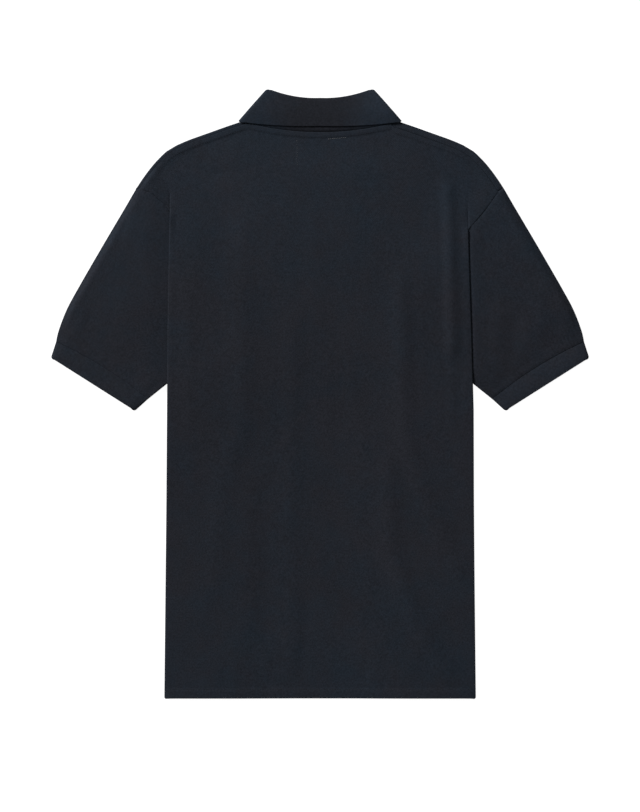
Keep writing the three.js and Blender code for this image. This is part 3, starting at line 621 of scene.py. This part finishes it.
def front_panel(material):
    """The front reaches the shoulder, turns over it, and ends in the strip that the back is sewn to."""
    columns = main_columns(34)
    rows = panel_rows(False, columns, 6)
    middle = len(rows[0]) // 2
    turned = [[None] * len(rows[0]) for _ in range(TURN + 2)]
    places = [(n, share * COLUMN_SPAN) for n, share in enumerate(columns)]
    shares = [(n, shoulder_share_of_column(x)) for n, x in places if x >= SIDE_COLUMNS[0]]
    reach = (shoulder_point(1, 0) - shoulder_point(FOLD_TOP_SHARE, 0)).length
    step = min(2.6, 0.35 * reach) / reach
    outer = [step * k / TURN for k in range(TURN + 1)] + [mix(step, 1, share) for share in REACH]
    shares += [(len(columns) + n, mix(FOLD_TOP_SHARE, 1, share)) for n, share in enumerate(outer)]
    towards_neck = [(n, x - SIDE_COLUMNS[0]) for n, x in places if NECK_END - 2 < x < SIDE_COLUMNS[0]]
    for side in (-1, 1):
        for n, share in shares:
            edge = shoulder_point(share, 0)
            low = front_height(edge.x, edge.y) if edge.x < 190 else sleeve_low_height(side, edge.x, edge.y)
            high = back_height(side, side * edge.x, edge.y) - SEAM_RAISE * (1 - smooth(*SEAM_END, edge.x))
            radius = (high - low) / 2
            column = middle + side * n
            for k in range(1, TURN + 1):
                angle = math.pi * (k / TURN - 0.5)
                at = strip_point(side, share, CLOTH / 2 + radius * (1 - math.cos(angle)))
                z = (low + high) / 2 + radius * math.sin(angle)
                turned[k - 1][column] = Vector((side * at.x, at.y, z))
            for k, part in ((TURN, 0.7), (TURN + 1, 1)):
                at = strip_point(side, share, mix(CLOTH / 2 + radius, STRIP[side], part))
                level = sleeve_up_height(side, at.x, at.y)
                lowered = part * part * smooth(FOLD_TOP_SHARE, 1, share)
                z = mix(high, level, lowered) - 0.4 * smooth(0.7, 1, part)
                turned[k][column] = Vector((side * at.x, at.y, z))
        along = shoulder_line.direction(0)
        first = middle + side * shares[0][0]
        for n, back_off in towards_neck:
            for k in range(TURN + 2):
                step_back = Vector((side * along.x, along.y, 0.06)) * back_off
                turned[k][middle + side * n] = turned[k][first] + step_back
    return cloth("front_panel", rows + turned, CLOTH, material)


def length_shares(points):
    lengths = [0]
    for a, b in zip(points, points[1:]):
        lengths.append(lengths[-1] + (b - a).length)
    return [length / lengths[-1] for length in lengths]


def armhole_points(side):
    """Armhole seam from the shoulder to the underarm."""
    seen = [armhole_line[side].at(1 - 0.96 * share) for share in steps(16)]
    hidden = []
    for share in steps(34):
        y = mix(hidden_y(side, HIDDEN_TOP), UNDERARM[1], share)
        hidden.append(Vector((hidden_seam(side, y), y)))
    return seen + hidden


def cuff_seam(share):
    outer, inner = plan(CUFF_SEAM[0]), plan(CUFF_SEAM[1])
    run = (inner - outer).normalized()
    return outer.lerp(inner, share) + Vector((run.y, -run.x)) * CUFF_BOW * 4 * share * (1 - share)


def cuff_edge(share):
    return plan(CUFF_EDGE[0]).lerp(plan(CUFF_EDGE[1]), share)


def flat_ring(side, points, low, high, thick):
    """One ring of a flat tube: over the top from the outer edge, round the inner edge, and back below."""

    def turn(edge, after):
        inward = (after - edge).normalized()
        bottom, top = low(edge), high(edge)
        radius = (top - bottom) / 2
        ring = []
        for k in range(9):
            angle = math.pi * (k / 8 - 0.5)
            at = edge + inward * (thick / 2 + radius * (1 - math.cos(angle)))
            ring.append(Vector((side * at.x, at.y, (bottom + top) / 2 + radius * math.sin(angle))))
        return ring

    inside = points[1:-1]
    upper = [Vector((side * p.x, p.y, high(p))) for p in inside]
    lower = [Vector((side * p.x, p.y, low(p))) for p in inside][::-1]
    return turn(points[0], points[1]) + upper + turn(points[-1], points[-2])[::-1] + lower


def shift_out(points, distance):
    """Plan points moved sideways, away from the body."""
    moved = []
    for k, p in enumerate(points):
        run = points[min(k + 1, len(points) - 1)] - points[max(k - 1, 0)]
        moved.append(p + Vector((-run.y, run.x)).normalized() * distance)
    return moved


def cuff_low(side, p):
    return sleeve_low_height(side, p.x, p.y) + (RIB - CLOTH) / 2


def cuff_high(side, p):
    """The cuff stands a little open between its two ends."""
    along = (p - plan(CUFF_SEAM[0])).dot((plan(CUFF_SEAM[1]) - plan(CUFF_SEAM[0])).normalized())
    length = (plan(CUFF_SEAM[1]) - plan(CUFF_SEAM[0])).length
    between = smooth(0, 14, along) * smooth(length, length - 14, along)
    return cuff_low(side, p) + RIB + LAYER_GAP + CUFF_LOFT * between


def sleeve(side, material):
    armhole = armhole_points(side)
    shares = length_shares(armhole)
    top, underarm = armhole[0], armhole[-1]
    rows = []
    sleeve_length = sleeve_top_line.length()
    for u in [0, 0.006] + [mix(0.018, 0.97, share) for share in steps(50)] + [0.98, 0.987, 0.994, 1]:
        top_edge, low_edge = sleeve_top_line.at(u), underarm.lerp(cuff_seam(1), u)
        points = []
        for v, start in zip(shares, armhole):
            across = start.lerp(cuff_seam(v), u)
            along = top_edge.lerp(low_edge, v)
            corners = top.lerp(underarm, v).lerp(cuff_seam(0).lerp(cuff_seam(1), v), u)
            points.append(across + along - corners)
        if u in (0, 1):
            points = shift_out(points, -SEAM_LAP * (3 - 4 * u))
        to_cuff, to_armhole = (1 - u) * sleeve_length, u * sleeve_length
        sink = 0.7 * smooth(2, 0, to_armhole)
        dip = 0.55 * smooth(1.6, 0, to_cuff) - 0.35 * bell(to_cuff - 6, 3.5)

        def high(p):
            open_height = mix(cuff_high(side, p), sleeve_up_height(side, p.x, p.y), smooth(0, 55, to_cuff))
            dips = dip + sink * mix(0.1, 1, smooth(2, 14, outline_distance(p.x, p.y)))
            return open_height - dips * smooth(0, 4, above_sleeve_edge(p.x, p.y))

        rows.append(flat_ring(side, points, lambda p: sleeve_low_height(side, p.x, p.y), high, CLOTH))
    return cloth("left_sleeve" if side < 0 else "right_sleeve", rows, CLOTH, material, closed=True)


def cuff(side, material):
    shares = length_shares(armhole_points(side))
    rows = []
    length = (plan(CUFF_EDGE[1]) - plan(CUFF_EDGE[0])).length
    for w in [0, 0.015, 0.05] + steps(7)[1:-1] + [0.9, 0.94, 0.97, 0.99, 1]:
        inset = corner_inset((1 - w) * 21, CUFF_CORNER) / length
        points = [cuff_seam(v).lerp(cuff_edge(mix(inset, 1 - inset, v)), w) for v in shares]
        swell = 0.3 * math.sin(math.pi * w) - 0.1 * bell(w, 0.06) - 0.3 * smooth(0.8, 1, w)

        def high(p):
            return cuff_high(side, p) + swell

        rows.append(flat_ring(side, points, lambda p: cuff_low(side, p), high, RIB))
    return cloth("left_cuff" if side < 0 else "right_cuff", rows, RIB, material, closed=True)


LEAF_STEPS = steps(10)[1:-1] + [0.96, 0.99, 1]


def collar_section(seam, roll, leaf, stand_z, leaf_z, seam_z, edge_z=None):
    """The stand from the neck seam, round the roll, and the leaf to its edge."""
    edge_z = leaf_z if edge_z is None else edge_z
    radius = abs(leaf_z - stand_z) / 2
    up = (roll - seam.lerp(leaf, 0.5)).normalized()
    turn = roll - up * (radius + RIB / 2)
    middle, half = (stand_z + leaf_z) / 2, (leaf_z - stand_z) / 2
    points = []
    for share in steps(6)[:-1]:
        at = seam.lerp(turn, share)
        points.append((at, mix(seam_z, stand_z, smooth(0, 0.6, share))))
    for k in range(9):
        angle = math.pi * (k / 8 - 0.5)
        points.append((turn + up * radius * math.cos(angle), middle + half * math.sin(angle)))
    for share in LEAF_STEPS:
        swell = 0.35 * math.sin(math.pi * share) if leaf_z > stand_z else 0
        points.append((turn.lerp(leaf, share), mix(leaf_z, edge_z, share * share) + swell))
    return [Vector((p.x, p.y, z)) for p, z in points]


def collar(material):
    away = Vector((ROLL["y"] - LEAF["y"], LEAF["x"] - ROLL["x"])).normalized()
    leaf_turn = (BACK_LEAF_Z - FRONT_LEAF_Z) / 2 + RIB / 2
    side_seam = plan(COLLAR_SIDE)
    end_roll, end_leaf = (Vector((corner["x"], corner["y"])) - away * leaf_turn for corner in (ROLL, LEAF))
    run = (end_leaf - end_roll).normalized()
    side_roll, side_leaf = end_roll + run * COLLAR_CORNER, end_leaf + run * COLLAR_CORNER
    half = []
    for x in [NECK_END * share for share in steps(26)]:
        u = x / NECK_HALF
        dip = 1 - u * u
        seam = Vector((x, neck_back_y(x) - SEAM_LAP))
        roll = Vector((end_roll.x * u, mix(ROLL["y"], end_roll.y, u) - ROLL["back_dip"] * dip))
        leaf = Vector((end_leaf.x * u, mix(LEAF["y"], end_leaf.y, u) - LEAF["back_dip"] * dip))
        edge_z = BACK_LEAF_Z - 0.6 * (1 - smooth(0.6, 0.95, u))
        half.append(collar_section(seam, roll, leaf, BACK_STAND_Z, BACK_LEAF_Z, BACK_STAND_Z, edge_z))
    side_back = collar_section(side_seam, side_roll, side_leaf, BACK_STAND_Z, BACK_LEAF_Z, BACK_STAND_Z)
    side_front = collar_section(side_seam, side_roll, side_leaf, FRONT_STAND_Z, FRONT_LEAF_Z, FRONT_STAND_Z)
    for k in range(11):
        angle = math.pi * (0.5 - k / 10)
        section = []
        for over, under in zip(side_back, side_front):
            radius = (over.z - under.z) / 2
            out = radius * math.cos(angle)
            z = (over.z + under.z) / 2 + radius * math.sin(angle)
            near_tip = smooth(14, 0, (plan(over) - side_roll).dot(run))
            shift = away * out + run * COLLAR_TIP * near_tip * math.cos(angle) ** 2
            section.append(Vector((over.x + shift.x, over.y + shift.y, z)))
        half.append(section)
    seams = []
    for share in steps(30):
        x = NECK_END * math.cos(math.pi / 2 * share)
        seams.append(Vector((max(x, 3), neck_front_y(x) - SEAM_LAP)))
    for seam, share in zip(seams, length_shares([side_seam] + seams)[1:]):
        roll = side_roll.lerp(plan(ROLL["front"]), share)
        leaf = side_leaf.lerp(plan(LEAF["point"]), share)
        seam_z = front_height(seam.x, seam.y)
        stand_z = max(FRONT_STAND_Z, seam_z - FRONT_STAND_FALL * (roll - seam).length)
        half.append(collar_section(seam, roll, leaf, stand_z, FRONT_LEAF_Z, seam_z))
    mirrored = [[Vector((-p.x, p.y, p.z)) for p in section] for section in half]
    rows = half[::-1] + mirrored[1:]
    for section in rows:
        for share, p in zip(LEAF_STEPS, section[-len(LEAF_STEPS):]):
            p.z += read(LEAF_PUFF, p.x) * smooth(5.5, 6.8, p.z) * math.sin(math.pi * share)
    return cloth("collar_rib", [list(column) for column in zip(*rows)], RIB, material)


def strap(name, half, bottom, level, material):
    rows = []
    for t in steps(50):
        y = mix(bottom, PLACKET["top"], t)
        row = []
        for s in steps(14):
            x = mix(-half, half, s)
            uneven = 0.08 * noise.noise(Vector((x / 9, y / 14, level)))
            row.append(Vector((x, y, level + PLACKET["thick"] / 2 + uneven)))
        rows.append(row)
    return cloth(name, rows, PLACKET["thick"], material)


def button(y, material):
    """A round button with a sunk face and four holes, made by turning its outline."""
    outline = [(0, BUTTON_THICK), (2.5, BUTTON_THICK), (BUTTON_RADIUS - BUTTON_RIM, BUTTON_THICK)]
    for k in range(7):
        angle = math.pi * (0.5 - k / 6)
        side_half = BUTTON_THICK / 2 - BUTTON_RIM * 0.2
        out = BUTTON_RADIUS - BUTTON_RIM + BUTTON_RIM * math.cos(angle)
        outline.append((out, BUTTON_THICK / 2 + side_half * math.sin(angle)))
    outline.append((BUTTON_RADIUS - 1.1, 0))
    outline += [(mix(BUTTON_RADIUS - 1.5, 0, share), 0.5) for share in steps(20)]
    around = 72
    bm = bmesh.new()
    bmesh.ops.create_grid(bm, x_segments=around, y_segments=len(outline) - 1, size=1)
    order = sorted(bm.verts, key=lambda v: (round(v.co.y, 6), round(v.co.x, 6)))
    for n, vert in enumerate(order):
        j, i = divmod(n, around + 1)
        out, z = outline[j]
        angle = 2 * math.pi * i / around
        at = Vector((out * math.cos(angle), out * math.sin(angle)))
        if z == 0.5:
            to_hole = min((at - Vector((a, b))).length for a in (-1.15, 1.15) for b in (-1.15, 1.15))
            z += 0.9 * smooth(0.85, 0.55, to_hole)
        vert.co = Vector((at.x, at.y + y, z)) * MM
    bmesh.ops.remove_doubles(bm, verts=bm.verts, dist=1e-6)
    bmesh.ops.recalc_face_normals(bm, faces=bm.faces)
    return make_object(f"button_at_{y}", bm, material)


def stitches(name, lines, material, width=0.45):
    """Short threads, one between the first two points of each pair, sunk a little into the cloth."""
    bm = bmesh.new()
    for line in lines:
        for a, b in zip(line[::2], line[1::2]):
            run = b - a
            place = Matrix.Translation((a + b) / 2 * MM) @ run.to_track_quat("Z", "Y").to_matrix().to_4x4()
            shape = Matrix.Diagonal((width / 2 * MM, width / 2 * MM, run.length / 2 * MM, 1))
            bmesh.ops.create_uvsphere(bm, u_segments=6, v_segments=5, radius=1, matrix=place @ shape)
    return make_object(name, bm, material)


def line_of_stitches(point_at, length, pitch=3.2, share=0.78):
    """Ends of stitches along a line that point_at gives by share of its length."""
    count = max(1, round(length / pitch))
    ends = []
    for k in range(count):
        ends += [point_at(k / count), point_at((k + share) / count)]
    return ends


def on_back(x, y, lift=0.05):
    side = -1 if x < 0 else 1
    return Vector((x, y, back_height(side, x, y) + CLOTH / 2 + lift))


def hem_stitches(material):
    y = HEM_Y + HEM_DEPTH - 0.6
    back_line = line_of_stitches(lambda t: on_back(mix(-189, 189, t), y), 378)
    front_line = line_of_stitches(lambda t: Vector((mix(-188, 188, t), y, 0.12)), 376)
    return stitches("hem_stitches", [back_line, front_line], material)


def neck_stitches(material):
    def at(t):
        x = mix(-87, 87, t)
        return on_back(x, neck_back_y(abs(x)) - SEAM_ALLOWANCE + 0.5)

    return stitches("neck_stitches", [line_of_stitches(at, 178)], material)


def shoulder_stitches(material):
    lines = []
    for side in (-1, 1):

        def at(t):
            p = strip_point(side, mix(0.02, 0.78, t), STRIP[side] + SEAM_ALLOWANCE - 0.5)
            return on_back(side * p.x, p.y)

        lines.append(line_of_stitches(at, 112))
    return stitches("shoulder_stitches", lines, material)


def neck_tacks(material):
    upright = line_of_stitches(lambda t: on_back(-28.8, mix(317, 284, t), -0.19), 34, 2.6)
    level = line_of_stitches(lambda t: on_back(mix(10, 33, t), mix(318, 320, t), 0.15), 22, 2.2)
    return stitches("neck_tacks", [upright, level], material, 0.5)


def placket_stitches(material):
    """Both edges and the end of the upper strap, and the two sides of each buttonhole."""
    z = BUTTON_THICK + PLACKET["gap"] - 0.05
    edge = PLACKET["half"] - 1.6
    top, bottom = PLACKET["top"], PLACKET["bottom"] + 1.6
    lines = []
    for x in (-edge, edge):
        lines.append(line_of_stitches(lambda t: Vector((x, mix(bottom, top, t), z)), top - bottom))
    for y in (bottom, bottom + 22):
        lines.append(line_of_stitches(lambda t: Vector((mix(-edge, edge, t), y, z)), 2 * edge))
    for y in BUTTON_YS:
        for x in (-0.8, 0.8):
            lines.append(line_of_stitches(lambda t: Vector((x, y + mix(-7, 7, t), z)), 14, 0.7, 0.9))
    return stitches("placket_stitches", lines, material)


def node_of(tree, kind, **values):
    made = tree.nodes.new(kind)
    for name, value in values.items():
        setattr(made, name, value)
    return made


def math_node(tree, operation, a, b=None):
    made = node_of(tree, "ShaderNodeMath", operation=operation)
    for socket, value in zip(made.inputs, (a, b)):
        if isinstance(value, (int, float)):
            socket.default_value = value
        elif value is not None:
            tree.links.new(value, socket)
    return made.outputs[0]


def knit_group(name, heights, fades):
    """Group with the knit's height, a shade that holds painted light and random mottle, and a tone that
    varies over the cloth. heights builds the height from the two lengths along the cloth, and fades
    builds the broad painted light and shade and the broad changes of tone."""
    group = bpy.data.node_groups.new(name, "ShaderNodeTree")
    for output in ("Height", "Shade", "Tone"):
        group.interface.new_socket(name=output, in_out="OUTPUT", socket_type="NodeSocketFloat")
    end = group.nodes.new("NodeGroupOutput")
    lengths = node_of(group, "ShaderNodeUVMap", uv_map="cloth")
    split = group.nodes.new("ShaderNodeSeparateXYZ")
    group.links.new(lengths.outputs[0], split.inputs[0])
    group.links.new(heights(group, split.outputs[0], split.outputs[1]), end.inputs["Height"])
    place = group.nodes.new("ShaderNodeTexCoord")
    where = group.nodes.new("ShaderNodeSeparateXYZ")
    group.links.new(place.outputs["Object"], where.inputs[0])
    # The broad painted light and shade comes first, with a shift of tone; random mottle is then added to the
    # shade.
    total, tone_shift = fades(group, where)
    for scale, weight in ((480, 1.1), (120, 0.25), (12, 0.2)):
        cloud = node_of(group, "ShaderNodeTexNoise")
        cloud.inputs["Scale"].default_value = scale
        cloud.inputs["Detail"].default_value = 2
        group.links.new(place.outputs["Object"], cloud.inputs["Vector"])
        part = math_node(group, "MULTIPLY", math_node(group, "SUBTRACT", cloud.outputs[0], 0.5), weight)
        total = math_node(group, "ADD", total, part)
    group.links.new(total, end.inputs["Shade"])
    tone = node_of(group, "ShaderNodeTexNoise")
    tone.inputs["Scale"].default_value = 14
    tone.inputs["Detail"].default_value = 9
    tone.inputs["Roughness"].default_value = 0.78
    group.links.new(place.outputs["Object"], tone.inputs["Vector"])
    spread = math_node(group, "MULTIPLY", math_node(group, "SUBTRACT", tone.outputs[0], 0.36), 3.4)
    kept = node_of(group, "ShaderNodeClamp")
    group.links.new(math_node(group, "ADD", spread, tone_shift), kept.inputs[0])
    group.links.new(kept.outputs[0], end.inputs["Tone"])
    return group


def ramp(tree, value, start, end):
    """0 at the start and 1 at the end, with a soft step between them."""
    made = node_of(tree, "ShaderNodeMapRange", interpolation_type="SMOOTHSTEP")
    made.inputs["From Min"].default_value = start
    made.inputs["From Max"].default_value = end
    tree.links.new(value, made.inputs["Value"])
    return made.outputs["Result"]


def scaled(tree, value, size, start=0):
    return math_node(tree, "ADD", math_node(tree, "MULTIPLY", value, size), start)


def pique_fades(tree, where):
    """Painted light, lighter towards the shoulders and darker lower down, and a browner tone across the
    middle of the body.
    """
    y = where.outputs["Y"]
    shade = scaled(tree, ramp(tree, y, 0.10, 0.25), 0.07, -0.04)
    middle = math_node(tree, "MULTIPLY", ramp(tree, y, 0.22, 0.1), ramp(tree, y, -0.38, -0.14))
    return shade, scaled(tree, middle, 0.38, -0.06)


def rib_fades(tree, where):
    """Painted shade and light, darker at the back of the neck and on the cuffs and lighter to the right, and
    a browner tone at the back of the neck and on the cuffs.
    """
    x = where.outputs["X"]
    out = math_node(tree, "ABSOLUTE", x)
    off_cuffs = scaled(tree, ramp(tree, out, 0.12, 0.2), -0.6, 1)
    ends = math_node(tree, "MULTIPLY", ramp(tree, out, 0.02, 0.075), off_cuffs)
    right = scaled(tree, ramp(tree, x, 0, 0.09), 0.14)
    return math_node(tree, "ADD", scaled(tree, ends, 0.2, -0.12), right), scaled(tree, ends, -0.65, 0.5)


def wave(tree, length, pitch):
    return math_node(tree, "COSINE", math_node(tree, "MULTIPLY", length, 2 * math.pi / pitch))


def pique_heights(tree, u, v):
    return math_node(tree, "MULTIPLY", wave(tree, u, 0.0021), wave(tree, v, 0.0017))


def rib_heights(tree, u, v):
    wales = wave(tree, u, 0.0014)
    courses = math_node(tree, "MULTIPLY", wave(tree, v, 0.0011), 0.15)
    return math_node(tree, "ADD", wales, courses)


def knit_material(name, blue, brown, heights, fades, depth, sheen, shading):
    material = bpy.data.materials.new(name)
    material.use_nodes = True
    tree = material.node_tree
    surface = tree.nodes["Principled BSDF"]
    surface.inputs["Roughness"].default_value = 0.85
    surface.inputs["Specular IOR Level"].default_value = 0.05
    surface.inputs["Sheen Weight"].default_value = sheen
    surface.inputs["Sheen Roughness"].default_value = 0.45
    surface.inputs["Sheen Tint"].default_value = (0.55, 0.75, 1.0, 1)
    knit = node_of(tree, "ShaderNodeGroup", node_tree=knit_group(f"{name} knit", heights, fades))
    # The base colour is scaled by painted shade, darker in the knit's hollows, and by the Shade output, which
    # holds painted light and random mottle.
    light = math_node(tree, "ADD", math_node(tree, "MULTIPLY", knit.outputs["Height"], shading), 1)
    light = math_node(tree, "ADD", light, knit.outputs["Shade"])
    tones = node_of(tree, "ShaderNodeMix", data_type="RGBA")
    tones.inputs["A"].default_value = (*blue, 1)
    tones.inputs["B"].default_value = (*brown, 1)
    tree.links.new(knit.outputs["Tone"], tones.inputs["Factor"])
    tint = node_of(tree, "ShaderNodeVectorMath", operation="SCALE")
    tree.links.new(tones.outputs["Result"], tint.inputs[0])
    tree.links.new(math_node(tree, "MAXIMUM", light, 0.1), tint.inputs["Scale"])
    tree.links.new(tint.outputs[0], surface.inputs["Base Color"])
    bump = node_of(tree, "ShaderNodeBump")
    bump.inputs["Distance"].default_value = depth
    bump.inputs["Strength"].default_value = 0.8
    tree.links.new(knit.outputs["Height"], bump.inputs["Height"])
    tree.links.new(bump.outputs[0], surface.inputs["Normal"])
    return material


def pique_material():
    blue, brown = (0.0062, 0.0089, 0.0130), (0.0078, 0.0084, 0.0112)
    return knit_material("navy pique", blue, brown, pique_heights, pique_fades, 0.0001, 0.02, 0.03)


def rib_material():
    blue, brown = (0.0062, 0.0091, 0.0136), (0.0078, 0.0086, 0.0114)
    return knit_material("navy rib", blue, brown, rib_heights, rib_fades, 0.00007, 0.022, 0.04)


def thread_material(name, color):
    material = bpy.data.materials.new(name)
    material.use_nodes = True
    surface = material.node_tree.nodes["Principled BSDF"]
    surface.inputs["Base Color"].default_value = (*color, 1)
    surface.inputs["Specular IOR Level"].default_value = 0.08
    surface.inputs["Roughness"].default_value = 0.7
    return material


def button_material():
    material = bpy.data.materials.new("navy button")
    material.use_nodes = True
    surface = material.node_tree.nodes["Principled BSDF"]
    surface.inputs["Base Color"].default_value = (0.012, 0.014, 0.020, 1)
    surface.inputs["Roughness"].default_value = 0.28
    return material


def floor_material():
    material = bpy.data.materials.new("white floor")
    material.use_nodes = True
    surface = material.node_tree.nodes["Principled BSDF"]
    surface.inputs["Base Color"].default_value = (0.1, 0.1, 0.1, 1)
    surface.inputs["Roughness"].default_value = 0.9
    surface.inputs["Emission Color"].default_value = (1, 1, 1, 1)
    surface.inputs["Emission Strength"].default_value = 0.96
    return material


def add_floor():
    bm = bmesh.new()
    bmesh.ops.create_grid(bm, x_segments=1, y_segments=1, size=60)
    floor = make_object("floor", bm, floor_material(), smooth_faces=False)
    floor.location.z = -0.0002


def add_light(name, place, target, width, watts):
    lamp = bpy.data.lights.new(name, "AREA")
    lamp.size = width
    lamp.energy = watts
    obj = bpy.data.objects.new(name, lamp)
    obj.location = place
    obj.rotation_mode = "QUATERNION"
    obj.rotation_quaternion = (Vector(target) - Vector(place)).to_track_quat("-Z", "Y")
    bpy.context.scene.collection.objects.link(obj)


def add_studio():
    add_floor()
    world = bpy.data.worlds.new("studio")
    world.use_nodes = True
    world.node_tree.nodes["Background"].inputs["Color"].default_value = (1, 1, 1, 1)
    world.node_tree.nodes["Background"].inputs["Strength"].default_value = 0.45
    bpy.context.scene.world = world
    add_light("key", (-9.2, 7.8, 7.2), (0, 0, 0), 5.5, 5200)


def add_camera():
    """Straight above the shirt, at the photo's scale of 1.25 mm a pixel."""
    camera = bpy.data.cameras.new("camera")
    camera.lens = 85
    camera.sensor_width = 36
    camera.sensor_fit = "AUTO"
    camera.clip_end = 20
    obj = bpy.data.objects.new("camera", camera)
    obj.location = (-0.0001, -0.01575, 0.006 + 1.015 * 85 / 36)
    bpy.context.scene.collection.objects.link(obj)
    bpy.context.scene.camera = obj


def dress(piece, node):
    """Puts a piece in its part's place."""
    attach(piece, "root")
    if node:
        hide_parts(node)


def build_shirt():
    pique, rib, shell = pique_material(), rib_material(), button_material()
    # Navy thread, darker than the cloth: partly its own colour and partly painted shade for the grooves the
    # stitches sit in.
    thread = thread_material("navy thread", (0.0050, 0.0058, 0.0085))
    pale_thread = thread_material("grey thread", (0.075, 0.075, 0.078))
    hem_thread = thread_material("hem thread", (0.011, 0.012, 0.0145))
    back, front = back_panel(pique), front_panel(pique)
    dress(back, "back")
    dress(front, "front")
    hem, neck, shoulders = hem_stitches(hem_thread), neck_stitches(thread), shoulder_stitches(thread)
    tacks, placket = neck_tacks(pale_thread), placket_stitches(thread)
    for seam in (hem, neck, shoulders, tacks, placket):
        dress(seam, None)
    sleeves = {}
    for side, name in ((-1, "left"), (1, "right")):
        sleeves[name] = sleeve(side, pique)
        dress(sleeves[name], f"sleeve_{name}")
        band = cuff(side, rib)
        dress(band, f"cuff_{name}")
    folded_collar = collar(rib)
    dress(folded_collar, "collar")
    level = BUTTON_THICK + PLACKET["gap"]
    upper = strap("upper_strap", PLACKET["half"], PLACKET["bottom"], level, pique)
    dress(upper, "placket_upper")
    level += PLACKET["thick"] + PLACKET["gap"]
    under = strap("under_strap", PLACKET["half"] - 1, PLACKET["bottom"] + 4, level, pique)
    dress(under, "placket_under")
    for n, y in enumerate(BUTTON_YS):
        dress(button(y, shell), f"button_{n + 1}")


build_shirt()
add_studio()
add_camera()
bpy.context.scene.view_settings.view_transform = "Standard"
